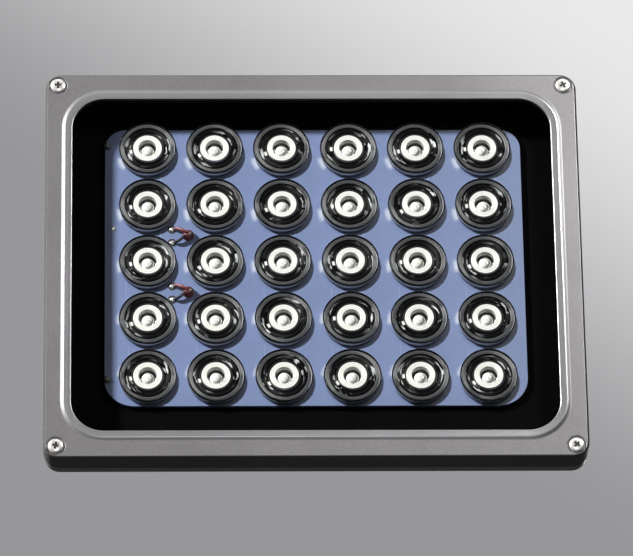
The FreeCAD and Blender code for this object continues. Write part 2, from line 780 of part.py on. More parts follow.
def housing_bosses(body):
    """Pivot boss on each side, with a threaded hole for the pivot bolt."""
    radius = ref("boss_radius")
    back = f"( 0 - {FLOOR_REAR} - {ref('floor_thickness')} / 2 )"
    depth = f"( {BOSS_FACE} - {ref('boss_inner')} )"
    for offset in (ref("boss_inner"), f"0 - {BOSS_FACE}"):
        sketch = new_sketch(body, "YZ_Plane", offset)
        rectangle(sketch, back, f"0 - {PIVOT}", f"0 - {radius}", radius)
        pad(body, sketch, depth)
        sketch = new_sketch(body, "YZ_Plane", offset)
        circle(sketch, f"0 - {PIVOT}", "0", radius)
        pad(body, sketch, depth)
    for offset, inwards in ((BOSS_FACE, False), (f"0 - {BOSS_FACE}", True)):
        sketch = new_sketch(body, "YZ_Plane", offset)
        circle(sketch, f"0 - {PIVOT}", "0", ref("bolt_radius + screw_thread_play"))
        pocket(body, sketch, f"{BOLT_DEPTH} + {ref('boss_bore_spare')}", towards_normal=inwards)


def housing_case(body):
    """Driver compartment on the back, with its posts and the gland's threaded hole."""
    sketch = new_sketch(body, "XZ_Plane", CASE_REAR)
    rounded_rectangle(sketch, CASE_WIDTH, ref("case_height"), ref("case_corner"))
    pad(body, sketch, f"{FLOOR_FRONT} - {CASE_REAR}")
    sketch = new_sketch(body, "XZ_Plane", CASE_REAR)
    rounded_rectangle(
        sketch,
        f"( {CASE_WIDTH} - 2 * {ref('case_wall')} )",
        ref("( case_height - 2 * case_wall )"),
        ref("( case_corner - case_wall )"),
    )
    pocket(body, sketch, ref("case_reach"), towards_normal=True)
    sketch = new_sketch(body, "XZ_Plane", CASE_REAR)
    four_circles(sketch, POST_ACROSS, POST_UP, ref("post_radius"))
    pad(body, sketch, f"{FLOOR_FRONT} - {CASE_REAR}")
    sketch = new_sketch(body, "XZ_Plane", CASE_REAR)
    four_circles(sketch, POST_ACROSS, POST_UP, ref("cover_screw_shank + screw_thread_play"))
    pocket(body, sketch, ref("post_thread_depth"), towards_normal=True)

    holes = (DRIVER_HOLE_ACROSS, DRIVER_HOLE_UP)
    sketch = new_sketch(body, "XZ_Plane", DRIVER_FRONT)
    four_circles(sketch, *holes, ref("driver_post_radius"))
    pad(body, sketch, f"{FLOOR_FRONT} - {DRIVER_FRONT}")
    sketch = new_sketch(body, "XZ_Plane", DRIVER_FRONT)
    four_circles(sketch, *holes, ref("driver_screw_shank + screw_thread_play"))
    pocket(body, sketch, ref("driver_stand"), towards_normal=True)

    sketch = new_sketch(body, "XY_Plane", f"{GLAND_WALL} + 2 * {ref('case_wall')}")
    circle(sketch, "0", f"0 - {GLAND_FORWARD}", ref("gland_thread_radius + thread_play"))
    pocket(body, sketch, ref("2 * case_wall"))


def make_rear_housing():
    """Cast housing: tray for the board, fins, pivot bosses and driver compartment."""
    body = new_body("rear_housing")
    housing_tray(body)
    housing_fins(body)
    housing_bosses(body)
    housing_case(body)
    sketch = new_sketch(body, "XZ_Plane", FLANGE_REAR)
    four_circles(sketch, SCREW_ACROSS, SCREW_UP, ref("screw_shank_radius + screw_thread_play"))
    pocket(body, sketch, ref("flange_thickness"), towards_normal=True)
    sketch = new_sketch(body, "XZ_Plane", FLOOR_FRONT)
    lead_holes(sketch, ref("lead_hole_radius"))
    pocket(body, sketch, ref("floor_thickness"))
    sketch = new_sketch(body, "XZ_Plane", FLOOR_FRONT)
    board_notches(sketch, ref("board_screw_shank + board_screw_play"))
    pocket(body, sketch, ref("board_screw_length - board_thickness - plate_thickness"))
    return body


def make_backing_plate():
    """Black plate on the housing floor that shows all round the board."""
    gap = ref("plate_clearance")
    body = flat_plate(
        "backing_plate",
        FLOOR_FRONT,
        ref("plate_thickness"),
        f"( {CAVITY_WIDTH} - 2 * {gap} )",
        f"( {CAVITY_HEIGHT} - 2 * {gap} )",
        f"( {CAVITY_CORNER} - {gap} )",
    )
    sketch = new_sketch(body, "XZ_Plane", PLATE_FRONT)
    lead_holes(sketch, ref("lead_hole_radius"))
    board_notches(sketch, ref("board_screw_shank + board_screw_play"))
    pocket(body, sketch, ref("plate_thickness"))
    return body


def make_led_board():
    """Printed board that carries the emitters and lens holders."""
    body = new_body("led_board")
    sketch = new_sketch(body, "XZ_Plane", PLATE_FRONT)
    rounded_rectangle(
        sketch,
        ref("board_width"),
        ref("board_height"),
        ref("board_corner"),
        ref("board_across"),
        ref("board_up"),
        ref("board_low_corner"),
    )
    pad(body, sketch, ref("board_thickness"))
    sketch = new_sketch(body, "XZ_Plane", BOARD_FRONT)
    lead_holes(sketch, ref("lead_hole_radius"))
    board_notches(sketch, ref("notch_radius"))
    pocket(body, sketch, ref("board_thickness"))
    return body


def make_board_screws():
    """Two small screws in the notches of the board's left edge."""
    body = new_body("board_screws", several=True)
    body.setExpression("Placement.Base.x", NOTCH_ACROSS)
    body.setExpression("Placement.Base.y", f"0 - {BOARD_FRONT}")
    body.setExpression("Placement.Base.z", NOTCH_LOW)
    blank = screw_blank(
        body,
        ref("board_screw_head"),
        ref("board_screw_head_height"),
        ref("board_screw_shank"),
        ref("board_screw_length"),
    )
    grid(body, [blank], "1", "2", "0", NOTCH_SPACING)
    return body


def make_emitters():
    """One emitter under each lens."""
    body = new_body("led_emitters", several=True)
    half = ref("emitter_size / 2")
    sketch = new_sketch(body, "XZ_Plane", BOARD_FRONT)
    rectangle(
        sketch,
        f"{FIRST_LENS_ACROSS} - {half}",
        f"{FIRST_LENS_ACROSS} + {half}",
        f"{FIRST_LENS_UP} - {half}",
        f"{FIRST_LENS_UP} + {half}",
    )
    chip = pad(body, sketch, ref("emitter_height"))
    lens_grid(body, [chip])
    return body


def lens_grid(body, features):
    """Repeat features at every lens position."""
    grid(
        body,
        features,
        ref("lens_columns"),
        ref("lens_rows"),
        LENS_PITCH_ACROSS,
        LENS_PITCH_UP,
    )


def make_lens_holders():
    """Black cup round each lens, open at its foot over the emitter."""
    body = new_body("lens_holders", several=True)
    body.setExpression("Placement.Base.x", FIRST_LENS_ACROSS)
    body.setExpression("Placement.Base.y", f"0 - {BOARD_FRONT}")
    body.setExpression("Placement.Base.z", FIRST_LENS_UP)
    seat = ref("0 - ( holder_height - holder_seat_depth )")
    top = ref("0 - holder_height")
    sketch = new_sketch(body, "XY_Plane")
    polygon(sketch, [
        (ref("holder_throat_radius"), "0"),
        (f"{HOLDER_RADIUS} - {ref('holder_taper')}", "0"),
        (HOLDER_RADIUS, top),
        (HOLDER_RIM_INNER, top),
        (HOLDER_RIM_INNER, seat),
        (HOLDER_SEAT, seat),
    ])
    lens_grid(body, [revolve(body, sketch)])
    return body


def make_lens(row, column):
    """Clear collimator lens: flange on the holder's seat, cone below, ring gap and well on top."""
    body = new_body(f"lens_r{row}_c{column}")
    rows_up = f"( {ref('lens_rows')} - {row} )"
    across = f"{FIRST_LENS_ACROSS} + {column - 1} * {LENS_PITCH_ACROSS}"
    up = f"{FIRST_LENS_UP} + {rows_up} * {LENS_PITCH_UP}"
    body.setExpression("Placement.Base.x", across)
    body.setExpression("Placement.Base.y", f"0 - {BOARD_FRONT}")
    body.setExpression("Placement.Base.z", up)
    seat = ref("0 - ( holder_height - holder_seat_depth )")
    top = f"{seat} - {ref('lens_flange_thickness')}"
    foot = ref("0 - lens_foot_stand")
    well = f"{top} + {ref('well_depth')}"
    flange = f"( {HOLDER_RIM_INNER} - {ref('lens_play')} )"
    gap_floor = f"{top} + {ref('collimator_gap_depth')}"
    gap_outer = ref("collimator_radius + collimator_gap")
    sketch = new_sketch(body, "XY_Plane")
    polygon(sketch, [
        ("0", foot),
        (ref("lens_foot_radius"), foot),
        (f"{HOLDER_SEAT} - {ref('lens_cone_play')}", seat),
        (flange, seat),
        (flange, top),
        (gap_outer, top),
        (gap_outer, gap_floor),
        (ref("collimator_radius"), gap_floor),
        (ref("collimator_radius"), top),
        (ref("well_radius"), top),
        (ref("well_radius"), well),
        ("0", well),
    ])
    revolve(body, sketch)
    return body


def make_lead(name, row, side, pad_up):
    """Lead from its solder pad across the board, down its hole and back to the driver."""
    spread = ref("lead_spread")
    reach = ref("lead_pad_reach")
    rise = f"( {side} * ( {pad_up} - {spread} ) )"
    run = f"sqrt({reach} ^ 2 + {rise} ^ 2)"
    bend = ref("lead_bend")
    body = new_body(name)
    body.Placement = FreeCAD.Placement(
        FreeCAD.Vector(0, 0, 0), FreeCAD.Rotation(FreeCAD.Vector(0, 1, 0), 1)
    )
    body.setExpression("Placement.Base.x", LEAD_HOLE_ACROSS)
    body.setExpression("Placement.Base.y", f"0 - {LEAD_LEVEL}")
    hole = f"{LEAD_HOLE_LOW} + {row} * {LENS_PITCH_UP}"
    body.setExpression("Placement.Base.z", f"{hole} + {side} * {spread}")
    body.setExpression("Placement.Rotation.Angle", f"atan({rise} / {reach})")
    ring = new_sketch(body, "YZ_Plane", f"0 - {run}")
    circle(ring, "0", "0", ref("lead_radius"))

    path = new_sketch(body, "XY_Plane")
    drop = f"{LEAD_LEVEL} - {DRIVER_FRONT}"
    corner = value(bend)
    start = FreeCAD.Vector(-value(run), 0, 0)
    before = FreeCAD.Vector(-corner, 0, 0)
    after = FreeCAD.Vector(0, corner, 0)
    end = FreeCAD.Vector(0, value(drop), 0)
    round_shape = Part.Circle(FreeCAD.Vector(-corner, corner, 0), FreeCAD.Vector(0, 0, 1), corner)
    path.addGeometry(Part.LineSegment(start, before), False)
    path.addGeometry(Part.ArcOfCircle(round_shape, -math.pi / 2, 0), False)
    path.addGeometry(Part.LineSegment(after, end), False)
    path.addConstraint(Sketcher.Constraint("Tangent", 0, 2, 1, 1))
    path.addConstraint(Sketcher.Constraint("Tangent", 1, 2, 2, 1))
    pin(path, 0, 1, f"0 - {run}", "0")
    pin(path, 1, 3, f"0 - {bend}", bend)
    size_radius(path, 1, bend)
    pin(path, 2, 2, "0", drop)
    sweep = body.newObject("PartDesign::AdditivePipe", f"{name}_pipe")
    sweep.Profile = ring
    sweep.Spine = (path, [])
    return body


def make_driver_board():
    """Circuit board on four posts in the driver compartment."""
    body = flat_plate(
        "driver_board",
        DRIVER_REAR,
        ref("driver_board_thickness"),
        DRIVER_WIDTH,
        DRIVER_HEIGHT,
        ref("driver_corner"),
    )
    sketch = new_sketch(body, "XZ_Plane", DRIVER_FRONT)
    radius = ref("driver_screw_shank + driver_hole_play")
    four_circles(sketch, DRIVER_HOLE_ACROSS, DRIVER_HOLE_UP, radius)
    pocket(body, sketch, ref("driver_board_thickness"))
    return body


def block_behind_board(body, across, up, width, height, depth):
    """Rectangular block standing on the rear of the driver board."""
    sketch = new_sketch(body, "XZ_Plane", f"{DRIVER_REAR} - {depth}")
    rectangle(
        sketch,
        f"{across} - {width} / 2",
        f"{across} + {width} / 2",
        f"{up} - {height} / 2",
        f"{up} + {height} / 2",
    )
    return pad(body, sketch, depth)


def make_transformer():
    """Coil with a core across it."""
    body = new_body("driver_transformer")
    place = (ref("transformer_across"), ref("transformer_up"))
    coil = (ref("coil_width"), ref("coil_height"), ref("coil_depth"))
    core = (ref("core_width"), ref("core_height"), ref("core_depth"))
    block_behind_board(body, *place, *coil)
    block_behind_board(body, *place, *core)
    return body


def make_capacitors():
    """Two upright electrolytic capacitors."""
    body = new_body("driver_capacitors", several=True)
    length = ref("capacitor_length")
    sketch = new_sketch(body, "XZ_Plane", f"{DRIVER_REAR} - {length}")
    for side in ("-0.5", "0.5"):
        up = f"{ref('capacitor_up')} + {side} * {ref('capacitor_pitch')}"
        circle(sketch, ref("capacitor_across"), up, ref("capacitor_radius"))
    pad(body, sketch, length)
    return body


def make_terminals():
    """Terminal block for the supply leads, with three entry holes."""
    body = new_body("driver_terminals")
    across = ref("terminal_across")
    depth = ref("terminal_depth")
    size = (ref("terminal_width"), ref("terminal_height"), depth)
    block_behind_board(body, across, ref("terminal_up"), *size)
    low = ref("( terminal_up - terminal_height / 2 )")
    sketch = new_sketch(body, "XY_Plane", low)
    for step in ("-1", "0", "1"):
        hole_across = f"{across} + {step} * {ref('terminal_hole_pitch')}"
        forward = f"0 - {DRIVER_REAR} + {depth} / 2"
        circle(sketch, hole_across, forward, ref("terminal_hole_radius"))
    pocket(body, sketch, ref("terminal_height / 2"), towards_normal=True)
    return body


def rear_screws(name, across, up, seat, sizes):
    """Four pan-head screws whose heads face the wall."""
    body = new_body(name, several=True)
    body.setExpression("Placement.Base.x", f"0 - {across}")
    body.setExpression("Placement.Base.y", f"0 - {seat}")
    body.setExpression("Placement.Base.z", f"0 - {up}")
    blank = screw_blank(body, *sizes, facing="1")
    grid(body, [blank], "2", "2", f"( 2 * {across} )", f"( 2 * {up} )")
    return body


def make_driver_screws():
    """Four screws that hold the driver board to its posts."""
    sizes = (
        ref("driver_screw_head"),
        ref("driver_screw_head_height"),
        ref("driver_screw_shank"),
        ref("driver_screw_length"),
    )
    place = (DRIVER_HOLE_ACROSS, DRIVER_HOLE_UP)
    return rear_screws("driver_screws", *place, DRIVER_REAR, sizes)


def make_driver_cover():
    """Cover of the driver compartment, with a raised middle panel."""
    outline = (CASE_WIDTH, ref("case_height"), ref("case_corner"))
    body = flat_plate("driver_cover", COVER_REAR, ref("cover_thickness"), *outline)
    rise = ref("cover_panel_rise")
    sketch = new_sketch(body, "XZ_Plane", f"{COVER_REAR} - {rise}")
    rounded_rectangle(
        sketch,
        f"( {CASE_WIDTH} - 2 * {ref('cover_panel_margin')} )",
        ref("( case_height - 2 * cover_panel_margin )"),
        ref("case_corner"),
    )
    pad(body, sketch, ref("cover_panel_rise + cover_thickness / 2"))
    sketch = new_sketch(body, "XZ_Plane", COVER_FRONT)
    four_circles(sketch, POST_ACROSS, POST_UP, ref("cover_screw_shank + cover_hole_play"))
    pocket(body, sketch, ref("cover_thickness"))
    return body


def make_cover_gasket():
    """Gasket on the compartment's rim, with holes for the cover screws."""
    body = new_body("cover_gasket")
    sketch = new_sketch(body, "XZ_Plane", COVER_FRONT)
    rounded_rectangle(sketch, CASE_WIDTH, ref("case_height"), ref("case_corner"))
    rounded_rectangle(
        sketch,
        f"( 2 * {POST_ACROSS} - 2 * {ref('post_radius')} )",
        f"( 2 * {POST_UP} - 2 * {ref('post_radius')} )",
        ref("post_radius"),
    )
    four_circles(sketch, POST_ACROSS, POST_UP, ref("cover_screw_shank + cover_hole_play"))
    pad(body, sketch, ref("cover_gasket_thickness"))
    return body


def make_cover_screws():
    """Four screws that hold the driver cover."""
    sizes = (
        ref("cover_screw_head"),
        ref("cover_screw_head_height"),
        ref("cover_screw_shank"),
        ref("cover_screw_length"),
    )
    return rear_screws("cover_screws", POST_ACROSS, POST_UP, COVER_REAR, sizes)


def gland_sketch(body, corners):
    """Turned profile about the gland's upright axis."""
    body.setExpression("Placement.Base.y", f"0 - {GLAND_FORWARD}")
    sketch = new_sketch(body, "XZ_Plane")
    polygon(sketch, corners)
    return revolve(body, sketch)


def make_gland_body():
    """Gland body: thread in the wall, hexagon, and a hollow neck for the seal."""
    body = new_body("gland_body")
    bore = ref("gland_bore_radius")
    thread = ref("gland_thread_radius")
    neck = ref("gland_neck_radius")
    seat = ref("seal_outer_radius + seal_play")
    seat_end = f"{GLAND_NECK_END} + {ref('seal_length - seal_proud')}"
    top = f"{GLAND_WALL} + {ref('gland_thread_length')}"
    gland_sketch(body, [
        (bore, top),
        (thread, top),
        (thread, GLAND_NECK),
        (neck, GLAND_NECK),
        (neck, GLAND_NECK_END),
        (seat, GLAND_NECK_END),
        (seat, seat_end),
        (bore, seat_end),
    ])
    sketch = new_sketch(body, "XY_Plane", GLAND_NECK)
    hexagon(sketch, "0", "0", ref("gland_flats"))
    circle(sketch, "0", "0", ref("gland_neck_radius"))
    pad(body, sketch, ref("gland_hex_height"))
    return body


def make_gland_seal():
    """Rubber sleeve that grips the cable."""
    body = new_body("gland_seal")
    inner = ref("seal_bore_radius")
    outer = ref("seal_outer_radius")
    low = f"{GLAND_NECK_END} - {ref('seal_proud')}"
    high = f"{low} + {ref('seal_length')}"
    gland_sketch(body, [(inner, low), (outer, low), (outer, high), (inner, high)])
    return body


def make_gland_nut():
    """Domed nut that squeezes the seal."""
    body = new_body("gland_nut")
    top = f"{GLAND_NECK} - {ref('nut_play')}"
    flats_end = f"{top} - {ref('nut_flats_length')}"
    tip = f"{top} - {ref('nut_length')}"
    bore = ref("gland_neck_radius + thread_play")
    inside = f"{GLAND_NECK_END} - {ref('( seal_proud + seal_play )')}"
    mouth = ref("gland_bore_radius")
    wall = ref("gland_flats / 2")
    gland_sketch(body, [
        (bore, top),
        (wall, top),
        (wall, flats_end),
        (ref("nut_tip_radius"), tip),
        (mouth, tip),
        (mouth, inside),
        (bore, inside),
    ])
    sketch = new_sketch(body, "XY_Plane", flats_end)
    hexagon(sketch, "0", "0", ref("gland_flats"))
    circle(sketch, "0", "0", ref("gland_neck_radius + 2 * thread_play"))
    pad(body, sketch, ref("nut_flats_length"))
    return body


def make_bracket():
    """Bent steel strip: wall bar with three holes and two arms with rounded ends."""
    body = new_body("mounting_bracket")
    inside = ref("arm_inside / 2")
    outside = ref("arm_inside / 2 + strip_thickness")
    front = ref("0 - ( pivot_reach + strip_width / 2 )")
    bar = ref("0 - strip_thickness")
    half_strip = ref("strip_width / 2")
    sketch = new_sketch(body, "XY_Plane", f"0 - {half_strip}")
    polygon(sketch, [
        (f"0 - ( {outside} )", "0"),
        (f"0 - ( {outside} )", front),
        (f"0 - ( {inside} )", front),
        (f"0 - ( {inside} )", bar),
        (inside, bar),
        (inside, front),
        (outside, front),
        (outside, "0"),
    ])
    strip = pad(body, sketch, ref("strip_width"))
    wall = value(bar)

    def inner_bend(box, centre):
        upright = box.XLength < SAME_PLACE < box.ZLength
        return upright and abs(centre.y - wall) < SAME_PLACE

    def outer_bend(box, centre):
        upright = box.XLength < SAME_PLACE < box.ZLength
        return upright and abs(centre.y) < SAME_PLACE

    bent = fillet(body, strip, edges_where(strip, inner_bend), ref("bend_radius"))
    outer = edges_where(bent, outer_bend)
    bent = fillet(body, bent, outer, ref("bend_radius + strip_thickness"))
    tip = value(front)

    def arm_corner(box, centre):
        level = box.ZLength < SAME_PLACE < box.XLength
        return level and abs(centre.y - tip) < SAME_PLACE

    corners = edges_where(bent, arm_corner)
    fillet(body, bent, corners, ref("( strip_width - arm_tip_flat ) / 2"))
    sketch = new_sketch(body, "YZ_Plane", f"0 - ( {outside} )")
    circle(sketch, f"0 - {PIVOT}", "0", ref("bolt_radius + pivot_hole_play"))
    pocket(body, sketch, f"2 * ( {outside} )", towards_normal=True)
    sketch = new_sketch(body, "XZ_Plane", ref("strip_thickness"))
    circle(sketch, "0", "0", ref("wall_hole_radius"))
    for side in ("-0.5", "0.5"):
        across = f"{side} * {ref('side_hole_spacing')}"
        circle(sketch, across, "0", ref("side_hole_radius"))
    pocket(body, sketch, ref("strip_thickness"))
    return body


def make_pivot_bolts():
    """Hexagon bolt through each arm into the boss behind it."""
    body = new_body("pivot_bolts", several=True)
    sketch = new_sketch(body, "YZ_Plane", f"{BOLT_FACE} - {ref('bolt_grip')}")
    circle(sketch, f"0 - {PIVOT}", "0", ref("bolt_radius"))
    shank = pad(body, sketch, ref("bolt_grip"))
    sketch = new_sketch(body, "YZ_Plane", BOLT_FACE)
    hexagon(sketch, f"0 - {PIVOT}", "0", ref("bolt_flats"))
    head = pad(body, sketch, ref("bolt_head_height"))
    mirror_sides(body, [shank, head])
    return body


def make_washers(name, face, thickness, radius, split=None):
    """Washer outside each arm, cut through on one side if it is a spring washer."""
    body = new_body(name, several=True)
    sketch = new_sketch(body, "YZ_Plane", face)
    circle(sketch, f"0 - {PIVOT}", "0", radius)
    circle(sketch, f"0 - {PIVOT}", "0", ref("bolt_radius + washer_play"))
    features = [pad(body, sketch, thickness)]
    if split:
        sketch = new_sketch(body, "YZ_Plane", face)
        left = f"0 - {PIVOT} - {split} / 2"
        right = f"0 - {PIVOT} + {split} / 2"
        rectangle(sketch, left, right, "0", f"{radius} + {split}")
        features.append(pocket(body, sketch, thickness, towards_normal=True))
    mirror_sides(body, features)
    return body


def build_all():
    """Make every sub-part of the lamp."""
    bodies = [
        make_bezel(),
        make_bezel_screws(),
        make_front_glass(),
        make_glass_gasket(),
        make_rim_gasket(),
        make_rear_housing(),
        make_backing_plate(),
        make_led_board(),
        make_board_screws(),
        make_emitters(),
        make_lens_holders(),
        make_driver_board(),
        make_transformer(),
        make_capacitors(),
        make_terminals(),
        make_driver_screws(),
        make_driver_cover(),
        make_cover_gasket(),
        make_cover_screws(),
        make_gland_body(),
        make_gland_seal(),
        make_gland_nut(),
        make_bracket(),
        make_pivot_bolts(),
    ]
    for row in range(1, int(value(ref("lens_rows"))) + 1):
        for column in range(1, int(value(ref("lens_columns"))) + 1):
            bodies.append(make_lens(row, column))
    for row, level in (("0", "lower"), ("1", "upper")):
        bodies.append(make_lead(f"lead_red_{level}", row, "1", ref("red_pad_up")))
        bodies.append(make_lead(f"lead_black_{level}", row, "-1", ref("black_pad_down")))
    bodies.append(make_washers(
        "flat_washers", WASHER_FACE, ref("washer_thickness"), ref("washer_radius")
    ))
    bodies.append(make_washers(
        "spring_washers",
        SPRING_FACE,
        ref("spring_washer_thickness"),
        ref("spring_washer_radius"),
        ref("spring_washer_split"),
    ))
    return bodies


def check_document():
    """Stop if any object failed, or if a cut removed nothing."""
    for item in doc.Objects:
        if "Invalid" in item.State or "Error" in item.State:
            raise RuntimeError(f"{item.Label} failed: {item.State}")
        if item.TypeId == "PartDesign::Pocket":
            if item.Shape.Volume > item.BaseFeature.Shape.Volume - LEAST_CUT:
                raise RuntimeError(f"{item.Label} cuts nothing")


def export(bodies):
    """Write each sub-part's shape to its own file."""
    os.makedirs("parts", exist_ok=True)
    for body in bodies:
        shape = body.Shape
        if shape.isNull() or not shape.isValid() or not shape.Solids:
            raise RuntimeError(f"{body.Label} has no valid solid")
        shape.exportStep(f"parts/{body.Label}.step")
        print(f"{body.Label}: {len(shape.Solids)} solid(s), {shape.Volume / 1000:.2f} cm3")


fill_sheet()
sub_parts = build_all()
doc.recompute()
check_document()
export(sub_parts)
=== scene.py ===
# %% [markdown]
# # Infrared illuminator: the looks
#
# The lamp is a flat metal box with thirty infrared emitters behind a glass window.
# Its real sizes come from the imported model, which this first cell loads as a fixed frame.
# Everything below is in metres in that frame: X runs across, Z is up, and the front looks
# along -Y. The sizes are written in millimetres, as a drawing has them, and `mm` turns them.

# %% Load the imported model
import math

import bmesh
import bpy
from mathutils import Matrix, Vector


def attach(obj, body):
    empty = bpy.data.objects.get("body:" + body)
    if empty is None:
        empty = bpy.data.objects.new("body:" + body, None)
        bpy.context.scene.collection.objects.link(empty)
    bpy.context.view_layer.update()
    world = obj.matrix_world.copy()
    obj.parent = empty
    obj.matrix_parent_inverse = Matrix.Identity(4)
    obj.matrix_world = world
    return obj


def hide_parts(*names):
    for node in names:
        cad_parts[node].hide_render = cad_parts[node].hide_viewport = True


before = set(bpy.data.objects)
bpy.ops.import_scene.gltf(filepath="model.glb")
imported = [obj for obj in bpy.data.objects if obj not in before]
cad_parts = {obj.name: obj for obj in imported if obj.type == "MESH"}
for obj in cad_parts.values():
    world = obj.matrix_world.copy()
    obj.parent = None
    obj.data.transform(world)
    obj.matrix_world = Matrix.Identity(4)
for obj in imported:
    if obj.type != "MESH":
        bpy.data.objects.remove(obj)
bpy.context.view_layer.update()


def mm(*sizes):
    """Millimetres as metres: one number, or a vector of three."""
    scaled = [size / 1000 for size in sizes]
    return scaled[0] if len(scaled) == 1 else Vector(scaled)


def new_piece(name, data):
    """Object at the origin for a mesh, a curve, a lamp or a camera."""
    piece = bpy.data.objects.new(name, data)
    bpy.context.scene.collection.objects.link(piece)
    return piece


# %% [markdown]
# ## Where the camera stands
#
# The photograph looks at the window from a little to the left and well below, through a long
# lens. The place of the thirty lenses and of the bezel's four edges in it gave these numbers.
# Target, distance and angles are apart, so that each can change alone.

# %% The camera
LOOK_AT = mm(1.0, -128.0, -7.3)
CAMERA_LEFT = math.radians(1.88)
CAMERA_BELOW = math.radians(26.0)
CAMERA_DISTANCE = mm(2273.0)
CAMERA_ROLL = math.radians(-0.92)
SENSOR_WIDTH = 36.0
FOCAL_PIXELS = 5450.0
PICTURE_WIDTH = 633.0
CAMERA_LENS = FOCAL_PIXELS * SENSOR_WIDTH / PICTURE_WIDTH

towards_camera = Vector((
    -math.sin(CAMERA_LEFT) * math.cos(CAMERA_BELOW),
    -math.cos(CAMERA_LEFT) * math.cos(CAMERA_BELOW),
    -math.sin(CAMERA_BELOW),
))
level_right = (-towards_camera).cross(Vector((0, 0, 1))).normalized()
level_up = level_right.cross(-towards_camera)
right = math.cos(CAMERA_ROLL) * level_right + math.sin(CAMERA_ROLL) * level_up
up = math.cos(CAMERA_ROLL) * level_up - math.sin(CAMERA_ROLL) * level_right

camera_data = bpy.data.cameras.new("camera")
camera_data.sensor_width = SENSOR_WIDTH
camera_data.lens = CAMERA_LENS
camera = new_piece("camera", camera_data)
bpy.context.scene.camera = camera
camera_turn = Matrix((right, up, towards_camera)).transposed().to_4x4()
camera.matrix_world = Matrix.Translation(LOOK_AT + CAMERA_DISTANCE * towards_camera) @ camera_turn
print("lens", round(CAMERA_LENS, 1), "mm")

# %% [markdown]
# ## Studio light, floor and background
#
# The lamp hangs high, so the pale floor lies far below it. A soft world gives a little light.
# The camera and the glass see a pale room instead, with a soft grey corner to the lower left.
# Gloss sees that room too, but dimmer in front and with two dark fields: one that the lamp's
# underside mirrors, and a black cloth where the window's own mirror image lies. Photographers
# hang one there, so that a pane shows what is behind it. One small hard lamp on the upper left
# does most of the work and throws the lip's shadow on the board. Three lamps are seen by gloss
# alone and draw the light lines on the lip's right, upper and lower sides. One lamp works
# behind the object.

# %% Colours of the room
WORLD_ABOVE = (0.065, 0.065, 0.065, 1)
WORLD_BELOW = (0.025, 0.025, 0.025, 1)
ROOM_DARK = (0.31, 0.31, 0.32, 1)
ROOM_PALE = (0.82, 0.82, 0.83, 1)
ROOM_FRONT = (0.22, 0.22, 0.23, 1)
CLOTH = (0.012, 0.012, 0.012, 1)
DARK_FOOT = (0.05, 0.05, 0.05, 1)
FLOOR_HALF = 6.0
FLOOR_LEVEL = -3.6
FLOOR_LIT = (0.16, 0.16, 0.16, 1)
FLOOR_SEEN = (0.66, 0.66, 0.66, 1)
FLOOR_GLOW = (0.48, 0.48, 0.48, 1)
view_direction = -towards_camera
mirror_direction = Vector((view_direction.x, -view_direction.y, view_direction.z))
gradient_direction = 0.53 * right + 0.848 * up
# Each dark field: its colour, its direction, and the cosines at which it starts and is full.
GLOSS_FIELDS = [
    (DARK_FOOT, (0.0, 0.9, -0.44), 0.35, 0.8),
    (CLOTH, mirror_direction, 0.93, 0.985),
]
print(len(GLOSS_FIELDS), "dark fields for gloss")


# %% Help with nodes
def feed(tree, node, inputs):
    """Set a node's inputs, each a number, a colour or a socket to link."""
    for name, value in inputs.items():
        if isinstance(value, bpy.types.NodeSocket):
            tree.links.new(value, node.inputs[name])
        else:
            node.inputs[name].default_value = value
    return node


def add_node(tree, kind, inputs=None, **settings):
    """New node of a kind in a tree, with its settings and its inputs."""
    node = tree.nodes.new(kind)
    for name, setting in settings.items():
        setattr(node, name, setting)
    return feed(tree, node, inputs or {})


def calc(tree, operation, *values):
    """Math on sockets and numbers."""
    return add_node(tree, "ShaderNodeMath", dict(enumerate(values)), operation=operation).outputs[0]


def vector_calc(tree, operation, inputs):
    """Results of vector math on sockets and vectors."""
    return add_node(tree, "ShaderNodeVectorMath", inputs, operation=operation).outputs


def times(tree, *values):
    """Product of two sockets or numbers."""
    return calc(tree, "MULTIPLY", *values)


def blend(tree, share, first, second):
    """Mix of two colours, each a plain colour or a socket."""
    inputs = {0: share, 6: first, 7: second}
    return add_node(tree, "ShaderNodeMix", inputs, data_type="RGBA").outputs[2]


def ranged(tree, measure, low, high, start=0.0, end=1.0, kind="LINEAR"):
    """Measure mapped from one range to another, and held at its ends."""
    inputs = {"Value": measure, "From Min": low, "From Max": high, "To Min": start, "To Max": end}
    return add_node(tree, "ShaderNodeMapRange", inputs, interpolation_type=kind).outputs["Result"]


def steps_of(tree, measure, low, high):
    """Smooth step of a measure from 0 at one value to 1 at another."""
    return ranged(tree, measure, low, high, kind="SMOOTHSTEP")


def toward(tree, ray, direction, low, high):
    """Share from 0 to 1 for how far a direction leans towards another."""
    lean = vector_calc(tree, "DOT_PRODUCT", {0: ray, 1: direction})["Value"]
    return steps_of(tree, lean, low, high)


def new_material(name):
    """Material with nodes, its tree and its Principled shader."""
    material = bpy.data.materials.new(name)
    material.use_nodes = True
    return material, material.node_tree, material.node_tree.nodes["Principled BSDF"]


print("node helpers ready")

